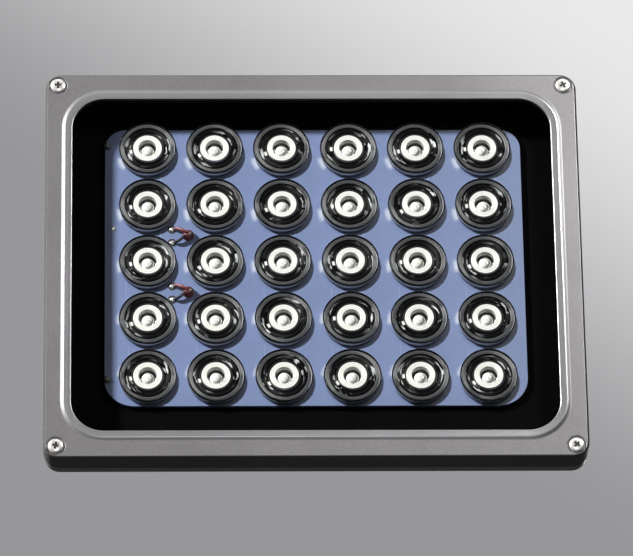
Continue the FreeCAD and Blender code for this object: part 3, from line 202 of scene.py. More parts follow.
# %% The world: soft light, and a pale room for the camera, gloss and glass
world = bpy.data.worlds.new("pale_room")
world.use_nodes = True
bpy.context.scene.world = world
tree = world.node_tree
tree.nodes.clear()
ray = add_node(tree, "ShaderNodeTexCoord").outputs["Generated"]
path = add_node(tree, "ShaderNodeLightPath").outputs
light = blend(tree, toward(tree, ray, (0, 0, 1), -0.5, 0.5), WORLD_BELOW, WORLD_ABOVE)
near = toward(tree, ray, view_direction, 0.91, 0.99)
pale = toward(tree, ray, gradient_direction, -0.012, 0.072)
corner = times(tree, near, calc(tree, "SUBTRACT", near, pale))
room = blend(tree, corner, ROOM_PALE, ROOM_DARK)
gloss = blend(tree, toward(tree, ray, (0, -1, 0), 0.0, 0.5), room, ROOM_FRONT)
for colour, direction, low, high in GLOSS_FIELDS:
    gloss = blend(tree, toward(tree, ray, direction, low, high), gloss, colour)
unseen = blend(tree, path["Is Glossy Ray"], light, gloss)
seen = calc(tree, "MAXIMUM", path["Is Camera Ray"], path["Is Transmission Ray"])
background = add_node(tree, "ShaderNodeBackground", {"Color": blend(tree, seen, unseen, room)})
add_node(tree, "ShaderNodeOutputWorld", {"Surface": background.outputs[0]})
print(len(tree.nodes), "nodes in the world")

# %% A plain pale floor far below the lamp
mesh = bpy.data.meshes.new("studio_floor")
signs = ((-1, -1), (1, -1), (1, 1), (-1, 1))
mesh.from_pydata([(x * FLOOR_HALF, y * FLOOR_HALF, FLOOR_LEVEL) for x, y in signs], [], [(0, 1, 2, 3)])
floor = new_piece("studio_floor", mesh)
material, tree, shader = new_material("pale_floor")
seen = add_node(tree, "ShaderNodeLightPath").outputs["Is Camera Ray"]
feed(tree, shader, {
    "Base Color": blend(tree, seen, FLOOR_LIT, FLOOR_SEEN), "Roughness": 0.8,
    "Emission Color": FLOOR_GLOW, "Emission Strength": seen,
})
mesh.materials.append(material)
bpy.context.scene.view_settings.view_transform = "Standard"
print(floor.name, "ready")

# %% Soft lamps
# Each lamp: its direction, metres away, metres wide, watts, and whether only gloss sees it.
LAMPS = {
    "window_lamp": ((-0.7586, -0.4462, 0.4748), 4.0, 0.27, 352.0, False),
    "near_right_lamp": ((0.57, -0.63, 0.53), 0.65, 0.2, 5.2, True),
    "high_lamp": ((0.03, -0.47, 0.88), 1.6, 0.5, 2.4, True),
    "level_lamp": ((0.03, -1.0, -0.08), 1.8, 0.7, 5.8, True),
    "rear_lamp": ((0.27, 0.84, 0.47), 2.2, 1.2, 62.0, False),
}
for name, (towards, far, size, power, gloss_only) in LAMPS.items():
    data = bpy.data.lights.new(name, "AREA")
    data.shape = "SQUARE"
    data.size = size
    data.energy = power
    lamp = new_piece(name, data)
    direction = Vector(towards).normalized()
    lamp.location = LOOK_AT + far * direction
    lamp.rotation_euler = (-direction).to_track_quat("-Z", "Y").to_euler()
    lamp.visible_diffuse = not gloss_only
print(len(LAMPS), "lamps")

# %% [markdown]
# ## Tools of the bench
#
# Three ways of making a shape serve for most of this object. A *ring loft* skins a row of
# rounded rectangles, as a cast frame is drawn. A *turned piece* spins a profile about the
# viewing direction, as a lathe does. A *finished copy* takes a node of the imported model, welds
# its loose triangles and softens its edges, because a real casting has no sharp edge.

# %% Ring loft, turned piece and finished copy
CORNER_STEPS = 12
SHARP_ANGLE = 32.0
WELD_MM = 0.002
FLAT_ANGLE = 0.6


def plain_mesh(name, shape, closed=True):
    """Mesh of a bmesh. The faces of a closed one are turned outwards first."""
    if closed:
        bmesh.ops.recalc_face_normals(shape, faces=shape.faces)
    mesh = bpy.data.meshes.new(name)
    shape.to_mesh(mesh)
    shape.free()
    return mesh


def sweep(count, low, high):
    """Angles in radians that divide an arc in equal parts."""
    return [math.radians(low + (high - low) * step / count) for step in range(count + 1)]


def about(middle, radius, angle, forward):
    """Point at a radius and an angle about a middle of (across, up) millimetres."""
    return mm(middle[0] + radius * math.cos(angle), -forward, middle[1] + radius * math.sin(angle))


def rounded_ring(half_width, half_height, corner, forward):
    """Points of a rounded rectangle in millimetres, at one distance forward."""
    points = []
    for side, top, start in ((1, 1, 0), (-1, 1, 90), (-1, -1, 180), (1, -1, 270)):
        middle = side * (half_width - corner), top * (half_height - corner)
        for angle in sweep(CORNER_STEPS, start, start + 90):
            points.append(about(middle, corner, angle, forward))
    return points


def skin(shape, first, second):
    """Faces between two rows with the same number of points, all the way round."""
    for index, (low, high) in enumerate(zip(first, second)):
        after = (index + 1) % len(first)
        shape.faces.new((low, first[after], second[after], high))


def loft(name, rings):
    """Closed skin over rings that all have the same number of points."""
    shape = bmesh.new()
    rows = [[shape.verts.new(point) for point in ring] for ring in rings]
    for first, second in zip(rows, rows[1:] + rows[:1]):
        skin(shape, first, second)
    return plain_mesh(name, shape)


def spun(name, profile, angles, full=False, closed_profile=False, middle=(0.0, 0.0)):
    """Profile of (radius, forward) pairs in millimetres, swept through angles about the view.

    The map "round" holds the turn and the height, the map "section" the radius and the height.
    """
    shape = bmesh.new()
    unwrap = shape.loops.layers.uv.new("round")
    section = shape.loops.layers.uv.new("section")
    rows = []
    for radius, forward in profile:
        if radius < 1e-6:
            rows.append([shape.verts.new(mm(middle[0], -forward, middle[1]))] * len(angles))
            continue
        own = angles[:-1] if full else angles
        row = [shape.verts.new(about(middle, radius, angle, forward)) for angle in own]
        rows.append(row + row[:len(angles) - len(row)])
    pairs = list(zip(range(len(rows)), range(1, len(rows))))
    if closed_profile:
        pairs.append((len(rows) - 1, 0))
    for low, high in pairs:
        for step in range(len(angles) - 1):
            kept = {}
            for row, place in ((low, step), (low, step + 1), (high, step + 1), (high, step)):
                kept.setdefault(rows[row][place], (row, place))
            if len(kept) < 3:
                continue
            face = shape.faces.new(list(kept))
            for loop, (row, place) in zip(face.loops, kept.values()):
                radius, forward = profile[row]
                loop[unwrap].uv = (angles[place] / (2 * math.pi), forward / 10)
                loop[section].uv = (radius / 10, forward / 10)
    return plain_mesh(name, shape, closed=full)


def turned(name, profile, steps, closed_profile=False, middle=(0.0, 0.0)):
    """Profile spun all the way round."""
    angles = [2 * math.pi * step / steps for step in range(steps + 1)]
    return spun(name, profile, angles, True, closed_profile, middle)


def smooth(mesh, degrees=SHARP_ANGLE):
    """Smooth shading that keeps edges sharper than an angle."""
    mesh.shade_smooth()
    mesh.set_sharp_from_angle(angle=math.radians(degrees))


def finished_copy(name, node, edge=0.0):
    """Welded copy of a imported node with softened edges, as its own mesh."""
    shape = bmesh.new()
    shape.from_mesh(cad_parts[node].data)
    bmesh.ops.remove_doubles(shape, verts=shape.verts, dist=mm(WELD_MM))
    flat = math.radians(FLAT_ANGLE)
    bmesh.ops.dissolve_limit(shape, angle_limit=flat, verts=shape.verts, edges=shape.edges)
    mesh = plain_mesh(name, shape, closed=False)
    mesh.materials.clear()
    piece = new_piece(name, mesh)
    if edge:
        soften = piece.modifiers.new("soft_edges", "BEVEL")
        soften.width = mm(edge)
        soften.segments = 2
        soften.limit_method = "ANGLE"
        soften.angle_limit = math.radians(SHARP_ANGLE)
        soften.use_clamp_overlap = True
    return bake(piece)


def worked_out(piece):
    """Mesh of a piece with its modifiers or its curve worked out."""
    bpy.context.view_layer.update()
    graph = bpy.context.evaluated_depsgraph_get()
    return bpy.data.meshes.new_from_object(piece.evaluated_get(graph), depsgraph=graph)


def bake(piece):
    """Put the modifiers' result in place of the piece's mesh."""
    mesh = worked_out(piece)
    piece.modifiers.clear()
    piece.data = mesh
    mesh.name = piece.name
    smooth(mesh)
    return piece


def flatten(piece):
    """Keep flat faces flat in the light, by a live modifier."""
    weigh = piece.modifiers.new("flat_face", "WEIGHTED_NORMAL")
    weigh.keep_sharp = True
    return piece


def fit(piece, finish, slot, *nodes, body="head"):
    """Give a piece its finish, its body and the nodes it stands for. The slot is not used."""
    if finish:
        piece.data.materials.clear()
        piece.data.materials.append(finish)
    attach(piece, body)
    if nodes:
        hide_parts(*nodes)
    triangles = sum(len(face.vertices) - 2 for face in piece.data.polygons)
    print(piece.name, triangles, "triangles")


print("helpers ready")

# %% [markdown]
# ## The finishes
#
# Most finishes share one pattern: the colour wanders a little, the roughness is broken up by
# fine noise and the surface has a grain. The grain's scale is the real one: a sprayed paint has
# dots of about half a millimetre, and cast aluminium under it adds a slow unevenness.

# %% A grained finish
SLOW_MM = 40.0
SLOW_SHARE = 0.45
FINE_SHARE = 0.55


def noise_of(tree, scale, detail, place=None):
    """Noise on object coordinates, or on another vector."""
    place = place or add_node(tree, "ShaderNodeTexCoord").outputs["Object"]
    inputs = {"Vector": place, "Scale": scale, "Detail": detail}
    return add_node(tree, "ShaderNodeTexNoise", inputs).outputs["Fac"]


def grained(name, colour, other, roughness, spread, grain_mm, bump, metallic=0.0, sheen=0.5):
    """Finish with two colours mixed by slow and fine noise, broken gloss and a grain."""
    material, tree, shader = new_material(name)
    slow = noise_of(tree, 1000.0 / SLOW_MM, 3.0)
    fine = noise_of(tree, 1000.0 / grain_mm, 2.0)
    shares = times(tree, fine, FINE_SHARE), times(tree, slow, SLOW_SHARE)
    wander = ranged(tree, calc(tree, "ADD", *shares), 0.35, 0.65)
    relief = add_node(tree, "ShaderNodeBump", {"Height": fine, "Strength": bump, "Distance": mm(0.1)})
    feed(tree, shader, {
        "Base Color": blend(tree, wander, (*colour, 1), (*other, 1)),
        "Metallic": metallic, "Specular IOR Level": sheen, "Normal": relief.outputs["Normal"],
        "Roughness": ranged(tree, fine, 0.0, 1.0, roughness - spread, roughness + spread),
    })
    return material


print("grained finish ready")

# %% The plain finishes
# Each finish: two colours, roughness and its spread, the grain in mm, bump, metallic, sheen.
FINISH_NUMBERS = {
    "bezel_paint": ((0.17, 0.164, 0.168), (0.225, 0.217, 0.223), 0.44, 0.08, 0.45, 0.35, 0.45),
    # The lip's brighter paint is painted light.
    "bezel_lip_paint": ((0.26, 0.255, 0.262), (0.33, 0.323, 0.332), 0.34, 0.06, 0.45, 0.25, 0.6),
    # The side's darker paint is painted shade.
    "bezel_side_paint": ((0.085, 0.08, 0.08), (0.115, 0.108, 0.108), 0.8, 0.08, 0.45, 0.3, 0.0, 0.2),
    "housing_paint": ((0.2, 0.19, 0.195), (0.26, 0.25, 0.255), 0.48, 0.1, 0.6, 0.5, 0.2),
    "bracket_paint": ((0.21, 0.2, 0.205), (0.26, 0.25, 0.255), 0.45, 0.08, 0.5, 0.35, 0.2),
    "black_plate": ((0.0012, 0.0012, 0.0014), (0.002, 0.002, 0.0022), 0.75, 0.05, 0.5, 0.05, 0.0, 0.02),
    "black_rubber": ((0.01, 0.01, 0.01), (0.016, 0.016, 0.016), 0.7, 0.06, 0.4, 0.3),
    "nickel_plate": ((0.72, 0.7, 0.66), (0.82, 0.8, 0.76), 0.3, 0.08, 0.5, 0.08, 0.55),
    "zinc_plate": ((0.46, 0.46, 0.46), (0.6, 0.6, 0.59), 0.34, 0.1, 1.2, 0.12, 1.0),
    "gland_nylon": ((0.012, 0.012, 0.013), (0.022, 0.022, 0.024), 0.5, 0.08, 0.35, 0.35),
    "emitter_ceramic": ((0.7, 0.69, 0.62), (0.78, 0.77, 0.7), 0.5, 0.1, 0.4, 0.1),
    "green_board": ((0.02, 0.1, 0.04), (0.03, 0.13, 0.05), 0.35, 0.08, 0.6, 0.1),
    "ferrite": ((0.03, 0.03, 0.032), (0.05, 0.05, 0.052), 0.6, 0.1, 0.4, 0.2),
    "capacitor_sleeve": ((0.02, 0.02, 0.03), (0.03, 0.03, 0.045), 0.35, 0.06, 0.8, 0.1),
    "terminal_plastic": ((0.02, 0.14, 0.05), (0.03, 0.18, 0.07), 0.45, 0.08, 0.5, 0.15),
    "blue_solder_mask": ((0.184, 0.237, 0.419), (0.206, 0.262, 0.458), 0.36, 0.05, 0.8, 0.05),
    "pale_laminate": ((0.62, 0.66, 0.72), (0.72, 0.75, 0.8), 0.5, 0.1, 0.5, 0.2),
    "track_mask": ((0.26, 0.33, 0.58), (0.3, 0.37, 0.62), 0.28, 0.05, 0.8, 0.05),
    "holder_foot": ((0.006, 0.007, 0.012), (0.012, 0.013, 0.02), 0.3, 0.05, 0.8, 0.05),
    "red_insulation": ((0.13, 0.01, 0.008), (0.2, 0.016, 0.011), 0.4, 0.06, 0.6, 0.08),
    "black_insulation": ((0.008, 0.008, 0.009), (0.014, 0.014, 0.015), 0.32, 0.06, 0.6, 0.08),
    "solder": ((0.72, 0.72, 0.7), (0.82, 0.82, 0.8), 0.2, 0.08, 0.6, 0.15, 0.9),
    "red_varnish": ((0.085, 0.008, 0.008), (0.13, 0.013, 0.012), 0.34, 0.05, 0.8, 0.1),
    "dark_pad": ((0.012, 0.012, 0.014), (0.03, 0.03, 0.035), 0.4, 0.1, 0.5, 0.1),
    "test_point": ((0.8, 0.8, 0.6), (0.86, 0.86, 0.66), 0.3, 0.05, 0.5, 0.1),
}
FINISH = {name: grained(name, *numbers) for name, numbers in FINISH_NUMBERS.items()}
print(len(FINISH), "plain finishes ready")

# %% [markdown]
# ## The bezel
#
# The real bezel is a cast frame: a flat face with a rounded outer edge, and a lip round the
# window. The lip is a soft ridge whose crest catches the light, with a band that falls towards
# the window. All of its edges are rounded rectangles, so it is lofted from those. Four
# counterbores with chamfered mouths are then cut, and the normals are weighted by area so that
# the face stays flat in the light. The lip's brighter paint is painted light, the outer side's
# rough dark paint is painted shade, and the window's inner wall is black.

# %% Bezel rings
BEZEL_HALF = (112.5, 89.0)
BEZEL_CORNER = 7.0
WINDOW_HALF = (101.0, 77.0)
WINDOW_CORNER = 13.5
FLANGE_FRONT = 117.0
LEDGE = 126.8
FACE = 128.0
RECESS_GROWTH = 5.5


def outer_ring(inset, forward):
    """Ring parallel to the bezel's outline."""
    return rounded_ring(BEZEL_HALF[0] - inset, BEZEL_HALF[1] - inset, BEZEL_CORNER - inset, forward)


def window_ring(growth, forward):
    """Ring parallel to the window's outline."""
    half_width, half_height = WINDOW_HALF
    return rounded_ring(half_width + growth, half_height + growth, WINDOW_CORNER + growth, forward)


EDGE_ROUND = 1.1
LIP_ROUND = 0.5
LIP_EDGE_RISE = 0.43
# The ridge's section: growth of the window's outline, and height over the face.
LIP_RIDGE = (
    (4.8, 0.0), (4.55, 0.035), (4.3, 0.12), (4.05, 0.225), (3.8, 0.335), (3.55, 0.445), (3.3, 0.55),
    (3.05, 0.635), (2.85, 0.68), (2.65, 0.69), (2.45, 0.67), (2.1, 0.61), (1.7, 0.545), (1.3, 0.49),
    (0.8, 0.45),
)
LIT_LIP_GROWTH = 3.3
rings = [outer_ring(0.3, FLANGE_FRONT), outer_ring(0.0, FLANGE_FRONT + 0.3)]
for angle in sweep(6, 0, 90):
    rings.append(outer_ring(EDGE_ROUND * (1 - math.cos(angle)), FACE - EDGE_ROUND * (1 - math.sin(angle))))
for growth, rise in LIP_RIDGE:
    rings.append(window_ring(growth, FACE + rise))
lip_edge = FACE + LIP_EDGE_RISE
for angle in sweep(6, 84, 0):
    rings.append(window_ring(LIP_ROUND * (1 - math.cos(angle)), lip_edge - LIP_ROUND * (1 - math.sin(angle))))
rings += [window_ring(0.0, LEDGE), window_ring(RECESS_GROWTH, LEDGE)]
rings.append(window_ring(RECESS_GROWTH, FLANGE_FRONT))
bezel = new_piece("bezel_frame", loft("bezel_frame", rings))
print(len(rings), "rings")

# %% Counterbores, screw holes and the bezel's paints
SCREW_PLACES = [(-107.2, 83.7), (107.2, 83.7), (-107.2, -83.7), (107.2, -83.7)]
SCREW_SEAT = 127.2
BORE = [(0.0, 116.0), (1.95, 116.0), (1.95, SCREW_SEAT), (3.75, SCREW_SEAT), (3.75, 127.55)]
BORE += [(4.6, 128.4), (0.0, 128.4)]
# Faces this near the outer edge, and upright faces behind the ledge, get the darker paint of painted shade.
SHADED_SIDE_DEPTH = 0.8
# Upright faces of the window's wall, out to this growth, are black.
BLACK_WALL_GROWTH = 0.06


def cut_away(piece, tool_mesh):
    """Subtract a closed tool from a piece."""
    tool = new_piece("cutter", tool_mesh)
    cut = piece.modifiers.new("cut", "BOOLEAN")
    cut.operation = "DIFFERENCE"
    cut.solver = "EXACT"
    cut.object = tool
    bake(piece)
    bpy.data.objects.remove(tool)


def depth_inside(point, half, corner):
    """Millimetres that a point lies inside a rounded rectangle, negative outside it."""
    across = half[0] - abs(point.x) * 1000
    high = half[1] - abs(point.z) * 1000
    if across > corner or high > corner:
        return min(across, high)
    return corner - math.hypot(corner - across, corner - high)


for place in SCREW_PLACES:
    cut_away(bezel, turned("bore", BORE, 40, middle=place))
fit(flatten(bezel), FINISH["bezel_paint"], "bezel_paint", "bezel")
# Slot 1 is the side's darker paint (painted shade), slot 2 the black window wall, slot 3 the lip's brighter
# paint (painted light).
for name in ("bezel_side_paint", "black_rubber", "bezel_lip_paint"):
    bezel.data.materials.append(FINISH[name])
for face in bezel.data.polygons:
    growth = -depth_inside(face.center, WINDOW_HALF, WINDOW_CORNER)
    at_side = depth_inside(face.center, BEZEL_HALF, BEZEL_CORNER) < SHADED_SIDE_DEPTH
    upright = abs(face.normal.y) < 0.5
    if at_side or (upright and face.center.y > -mm(LEDGE)):
        face.material_index = 1
    elif upright and growth < BLACK_WALL_GROWTH:
        face.material_index = 2
    elif growth < LIT_LIP_GROWTH and face.normal.y < -0.2:
        face.material_index = 3

# %% [markdown]
# ## Copies at marked places
#
# Screws and lenses repeat, so Geometry Nodes set them out. The tree takes one modelled piece
# and a cloud of marked points, each with its own turn, so every screw stops at its own angle.
# It ends by making the copies real and giving them their finish, because an exported model
# can't hold instances.

# %% The tree that sets out copies
# The modifier's own mesh is the points, and one object is set on each.
tree = SETTING_TREE = bpy.data.node_groups.new("set_out_copies", "GeometryNodeTree")
sockets = {
    "Marked Points": "Geometry", "Piece": "Object", "Size": "Float", "Random Turn": "Float",
    "Random Lean": "Float", "Seed": "Int", "Finish": "Material",
}
for name, kind in sockets.items():
    tree.interface.new_socket(name, in_out="INPUT", socket_type=f"NodeSocket{kind}")
tree.interface.new_socket("Copies", in_out="OUTPUT", socket_type="NodeSocketGeometry")
given = add_node(tree, "NodeGroupInput").outputs
piece = add_node(tree, "GeometryNodeObjectInfo", {"Object": given["Piece"]})
marked = add_node(tree, "GeometryNodeInputNamedAttribute", {"Name": "turn"}, data_type="FLOAT")
chance = add_node(tree, "FunctionNodeRandomValue", {"Seed": given["Seed"]}, data_type="FLOAT")
spin = calc(tree, "MULTIPLY_ADD", chance.outputs[1], given["Random Turn"], marked.outputs[0])
turn = add_node(tree, "ShaderNodeCombineXYZ", {"Y": spin})
ends = {0: (-1.0, 0.0, -1.0), 1: (1.0, 0.0, 1.0), "Seed": given["Seed"]}
lean = add_node(tree, "FunctionNodeRandomValue", ends, data_type="FLOAT_VECTOR")
tilt = vector_calc(tree, "SCALE", {0: lean.outputs[0], "Scale": given["Random Lean"]})[0]
copies = add_node(tree, "GeometryNodeInstanceOnPoints", {
    "Points": given["Marked Points"], "Instance": piece.outputs["Geometry"],
    "Rotation": vector_calc(tree, "ADD", {0: turn.outputs[0], 1: tilt})[0], "Scale": given["Size"],
})
real = add_node(tree, "GeometryNodeRealizeInstances", {0: copies.outputs[0]})
painted = {"Geometry": real.outputs[0], "Material": given["Finish"]}
paint = add_node(tree, "GeometryNodeSetMaterial", painted)
add_node(tree, "NodeGroupOutput", {0: paint.outputs[0]})
print("tree with", len(tree.nodes), "nodes")


# %% Using the tree
def set_out(name, pattern_mesh, places, finish, turns=None, random_turn=0.0, lean=0.0, seed=1):
    """One plain mesh that holds a copy of the pattern at every place, in millimetres."""
    points = bpy.data.meshes.new(name)
    points.from_pydata([mm(*place) for place in places], [], [])
    marks = points.attributes.new("turn", "FLOAT", "POINT")
    marks.data.foreach_set("value", [math.radians(turn) for turn in turns or [0.0] * len(places)])
    piece = new_piece(name, points)
    pattern = new_piece(f"{name}_pattern", pattern_mesh)
    setting = piece.modifiers.new("set_out", "NODES")
    setting.node_group = SETTING_TREE
    values = {"Piece": pattern, "Size": 1.0, "Random Turn": math.radians(random_turn),
              "Random Lean": math.radians(lean), "Seed": seed, "Finish": finish}
    for socket in SETTING_TREE.interface.items_tree:
        if socket.in_out == "INPUT" and socket.name in values:
            setting[socket.identifier] = values[socket.name]
    bake(piece)
    bpy.data.objects.remove(pattern)
    return piece


print("set_out ready")

# %% [markdown]
# ## The screws
#
# A nickel-plated pan head is turned from a profile: a rim, a dome and a nearly flat crown. Its
# cross recess is cut by two wedges that get narrower with depth. Only then is it set out, once
# for each corner of the bezel.


# %% One cross-head screw
def slot_cutter(across, high, depth, top):
    """Wedge that cuts one slot of the cross, longer at the crown than at the floor."""
    shape = bmesh.new()
    corners = []
    for forward, share in ((top + 0.4, 1.08), (top - depth, 0.42)):
        half_x = across / 2 * (share if across > high else max(share, 0.7))
        half_z = high / 2 * (share if high > across else max(share, 0.7))
        for x, z in ((-1, -1), (1, -1), (1, 1), (-1, 1)):
            corners.append(shape.verts.new(mm(x * half_x, -forward, z * half_z)))
    shape.faces.new(corners[:4])
    shape.faces.new(corners[:3:-1])
    skin(shape, corners[4:], corners[:4])
    return plain_mesh("slot_cutter", shape)


def pan_head(name, head, height, shank, length):
    """Screw at the origin whose head starts at its seat and points forward."""
    profile = [(0.0, -length), (shank * 0.7, -length), (shank, -length + 0.6), (shank, 0.0)]
    profile += [(head - 0.12, 0.0), (head, 0.12), (head, height * 0.35)]
    for angle in sweep(6, 8, 84):
        profile.append((head * math.cos(angle) ** 0.8, height * (0.35 + 0.65 * math.sin(angle))))
    profile.append((0.0, height))
    return turned(name, profile, 40)


def cross_head(name, head, height, shank, length, span, width, depth):
    """Pan head with its cross recess cut."""
    screw = new_piece(name, pan_head(name, head, height, shank, length))
    cut_away(screw, slot_cutter(span, width, depth, height))
    cut_away(screw, slot_cutter(width, span, depth * 0.999, height))
    mesh = screw.data
    bpy.data.objects.remove(screw)
    return mesh


def recess_floor(name, span, width, forward):
    """Flat cross deep in the recess, which carries painted shade where no light reaches."""
    shape = bmesh.new()
    half, arm = span / 2, width / 2
    outline = [(arm, arm), (half, arm), (half, -arm), (arm, -arm), (arm, -half), (-arm, -half), (-arm, -arm),
               (-half, -arm), (-half, arm), (-arm, arm), (-arm, half), (arm, half)]
    shape.faces.new([shape.verts.new(mm(x, -forward, z)) for x, z in outline])
    return plain_mesh(name, shape, closed=False)


# %% The bezel's screws
seats = [(across, -SCREW_SEAT, high) for across, high in SCREW_PLACES]
SCREW_TURNS = [2.0, -25.0, 12.0, 44.0]
corner_screw = cross_head(
    "corner_screw", head=3.25, height=1.5, shank=1.7, length=13.5, span=3.9, width=1.15, depth=1.1,
)
bezel_screws = set_out("bezel_corner_screws", corner_screw, seats, FINISH["nickel_plate"], SCREW_TURNS)
fit(bezel_screws, None, "nickel_plate", "bezel_screws")
# A black cross at the floor of each recess is painted shade.
cross_shade = recess_floor("recess_floor", span=3.5, width=0.95, forward=1.05)
recess_shades = set_out("bezel_screw_recesses", cross_shade, seats, FINISH["black_rubber"], SCREW_TURNS)
fit(recess_shades, None, "black_steel")

# %% [markdown]
# ## The housing, the cover and the bracket
#
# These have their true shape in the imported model. A finished copy welds the triangles, rounds
# the edges by a few tenths of a millimetre, as casting and paint do, and shades curved faces
# smoothly.

# %% Castings and pressings
TRAY_HALF = (105.7, 81.7)
TRAY_FLOOR = 114.0
# Each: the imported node, how much its edges are softened, its paint and its body.
CASTINGS = {
    "housing_casting": ("rear_housing", 0.35, "housing_paint", "head"),
    "driver_cover_plate": ("driver_cover", 0.3, "housing_paint", "head"),
    "bent_bracket": ("mounting_bracket", 0.3, "bracket_paint", "bracket"),
}
for name, (node, edge, paint, body) in CASTINGS.items():
    fit(flatten(finished_copy(name, node, edge)), FINISH[paint], paint, node, body=body)
housing = bpy.data.objects["housing_casting"]
housing.data.materials.append(FINISH["black_plate"])
for face in housing.data.polygons:
    within = abs(face.center.x) < mm(TRAY_HALF[0]) and abs(face.center.z) < mm(TRAY_HALF[1])
    face.material_index = int(within and face.center.y < -mm(TRAY_FLOOR))

# %% [markdown]
# ## The window glass
#
# The pane is clear, so what shows is what lies behind it. Only the side that light meets first
# mirrors: seen from inside, Fresnel would turn slanting light back, as in a thick block, and
# darken the board.


# %% Glass
def show_mix(tree, share, first, second):
    """Let the material show a mix of two shaders."""
    mix = add_node(tree, "ShaderNodeMixShader", {0: share, 1: first.outputs[0], 2: second.outputs[0]})
    feed(tree, tree.nodes["Material Output"], {"Surface": mix.outputs[0]})


def clear_pane(name, tint, ior, roughness):
    """Clear surface with a faint mirror on its outer side."""
    material, tree, shader = new_material(name)
    tree.nodes.remove(shader)
    clear = add_node(tree, "ShaderNodeBsdfTransparent", {"Color": (*tint, 1)})
    mirror = add_node(tree, "ShaderNodeBsdfGlossy", {"Roughness": roughness})
    fresnel = add_node(tree, "ShaderNodeFresnel", {"IOR": ior}).outputs[0]
    outer = calc(tree, "SUBTRACT", 1.0, add_node(tree, "ShaderNodeNewGeometry").outputs["Backfacing"])
    show_mix(tree, times(tree, fresnel, outer), clear, mirror)
    return material


def refinish(node, finish):
    """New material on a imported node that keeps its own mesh."""
    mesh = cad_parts[node].data
    mesh.materials.clear()
    mesh.materials.append(finish)
    mesh.polygons.foreach_set("material_index", [0] * len(mesh.polygons))


refinish("front_glass", clear_pane("window_glass", (0.99, 0.995, 0.99), 1.12, 0.02))
print("glass finished")

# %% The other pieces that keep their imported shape
PACKED_PIECES = {
    "black_rubber": "glass_gasket rim_gasket cover_gasket gland_seal board_screws",
    "black_plate": "backing_plate",
    "emitter_ceramic": "led_emitters",
    "green_board": "driver_board",
    "ferrite": "driver_transformer",
    "capacitor_sleeve": "driver_capacitors",
    "terminal_plastic": "driver_terminals",
    "nickel_plate": "driver_screws cover_screws",
    "zinc_plate": "pivot_bolts flat_washers spring_washers",
    "gland_nylon": "gland_body gland_nut",
}
for finish, nodes in PACKED_PIECES.items():
    for node in nodes.split():
        refinish(node, FINISH[finish])
    print(nodes, "finished")

# %% [markdown]
# ## The emitter board
#
# The board is blue-grey with a glossy solder mask, which stops a third of a millimetre short of
# the cut edge. Bare laminate shows there as a thin bright line along the bottom and the right
# side. The front of a welded copy is inset, and the narrow faces that this leaves get pale
# laminate, as do the faces of the cut edge. Thin raised copper tracks lie under the mask.

# %% Solder mask and cut edge
MASK_MARGIN = mm(0.33)
board = finished_copy("emitter_board", "led_board")
shape = bmesh.new()
shape.from_mesh(board.data)
front = [face for face in shape.faces if face.normal.y < -0.9]
inset = bmesh.ops.inset_region(
    shape, faces=front, thickness=MASK_MARGIN, use_boundary=True, use_even_offset=True,
)
for face in shape.faces:
    face.material_index = int(face in inset["faces"] or abs(face.normal.y) < 0.5)
edge_count = sum(face.material_index for face in shape.faces)
shape.to_mesh(board.data)
shape.free()
fit(board, FINISH["blue_solder_mask"], "blue_solder_mask", "led_board")
board.data.materials.append(FINISH["pale_laminate"])
print(edge_count, "edge faces of", len(board.data.polygons))

# %% Copper tracks under the mask
BOARD_FRONT = 117.3
LENS_LEFT = -69.35
LENS_LOW = -49.4
LENS_PITCH = (28.3, 26.5)
TRACK_RISE = 0.06


def track(shape, path, width):
    """Flat raised strip along a path of (across, up) points in millimetres."""
    for (x0, z0), (x1, z1) in zip(path, path[1:]):
        along = Vector((x1 - x0, 0, z1 - z0)).normalized()
        side = Vector((-along.z, 0, along.x)) * width / 2
        start = Vector((x0, 0, z0)) - along * width / 2
        end = Vector((x1, 0, z1)) + along * width / 2
        low, high = -(BOARD_FRONT - 0.02), -(BOARD_FRONT + TRACK_RISE)
        corners = []
        for level, pull in ((low, 1.0), (high, 0.8)):
            for point in (start - side * pull, end - side * pull, end + side * pull, start + side * pull):
                corners.append(shape.verts.new(mm(point.x, level, point.z)))
        shape.faces.new(corners[4:])
        skin(shape, corners[:4], corners[4:])


shape = bmesh.new()
track(shape, [(-84.3, 9.4), (-84.3, -16.8)], 0.35)
track(shape, [(-78.2, 9.2), (-78.2, -15.5)], 0.35)
for column in range(6):
    for row in range(4):
        across = LENS_LEFT + column * LENS_PITCH[0] + (5.5 if row > 1 else -7.9)
        middle = LENS_LOW + (row + 0.5) * LENS_PITCH[1]
        track(shape, [(across, middle - 3.2), (across, middle + 3.2)], 0.3)
tracks = new_piece("board_tracks", plain_mesh("board_tracks", shape))
fit(tracks, FINISH["track_mask"], "blue_solder_mask")

# %% [markdown]
# ## One lens and its holder
#
# Each emitter sits under a clear collimator: a disc with a well in the middle, carried by a
# round holder of smoked clear plastic with a finely ribbed wall. From the front the flat rim of
# the lens looks black inside a grey ring. Its lit side, its pale glints and one small spot where
# the lamp is mirrored are painted light and painted reflections. The bright cream disc is the
# collimator's own mirror cone, and its brightness is a painted reflection. These layers are turned
# apart, since each has its own finish, and the same tree sets all of them out. Only the foot of
# a holder is opaque and throws a shadow. Beside each foot, a clear film on the board carries a
# painted pool of light, where clear plastic would gather light.

# %% Places of the thirty lenses
LENS_PLACES = [
    (LENS_LEFT + column * LENS_PITCH[0], -BOARD_FRONT, LENS_LOW + row * LENS_PITCH[1])
    for row in range(5)
    for column in range(6)
]
LENS_NODES = [f"lens_r{row}_c{column}" for row in range(1, 6) for column in range(1, 7)]
LENS_STEPS = 56


def arc(middle, radius, low, high, count):
    """Profile points on an arc: middle is (radius, forward), angles in degrees."""
    return [
        (middle[0] + radius * math.cos(angle), middle[1] + radius * math.sin(angle))
        for angle in sweep(count, low, high)
    ]


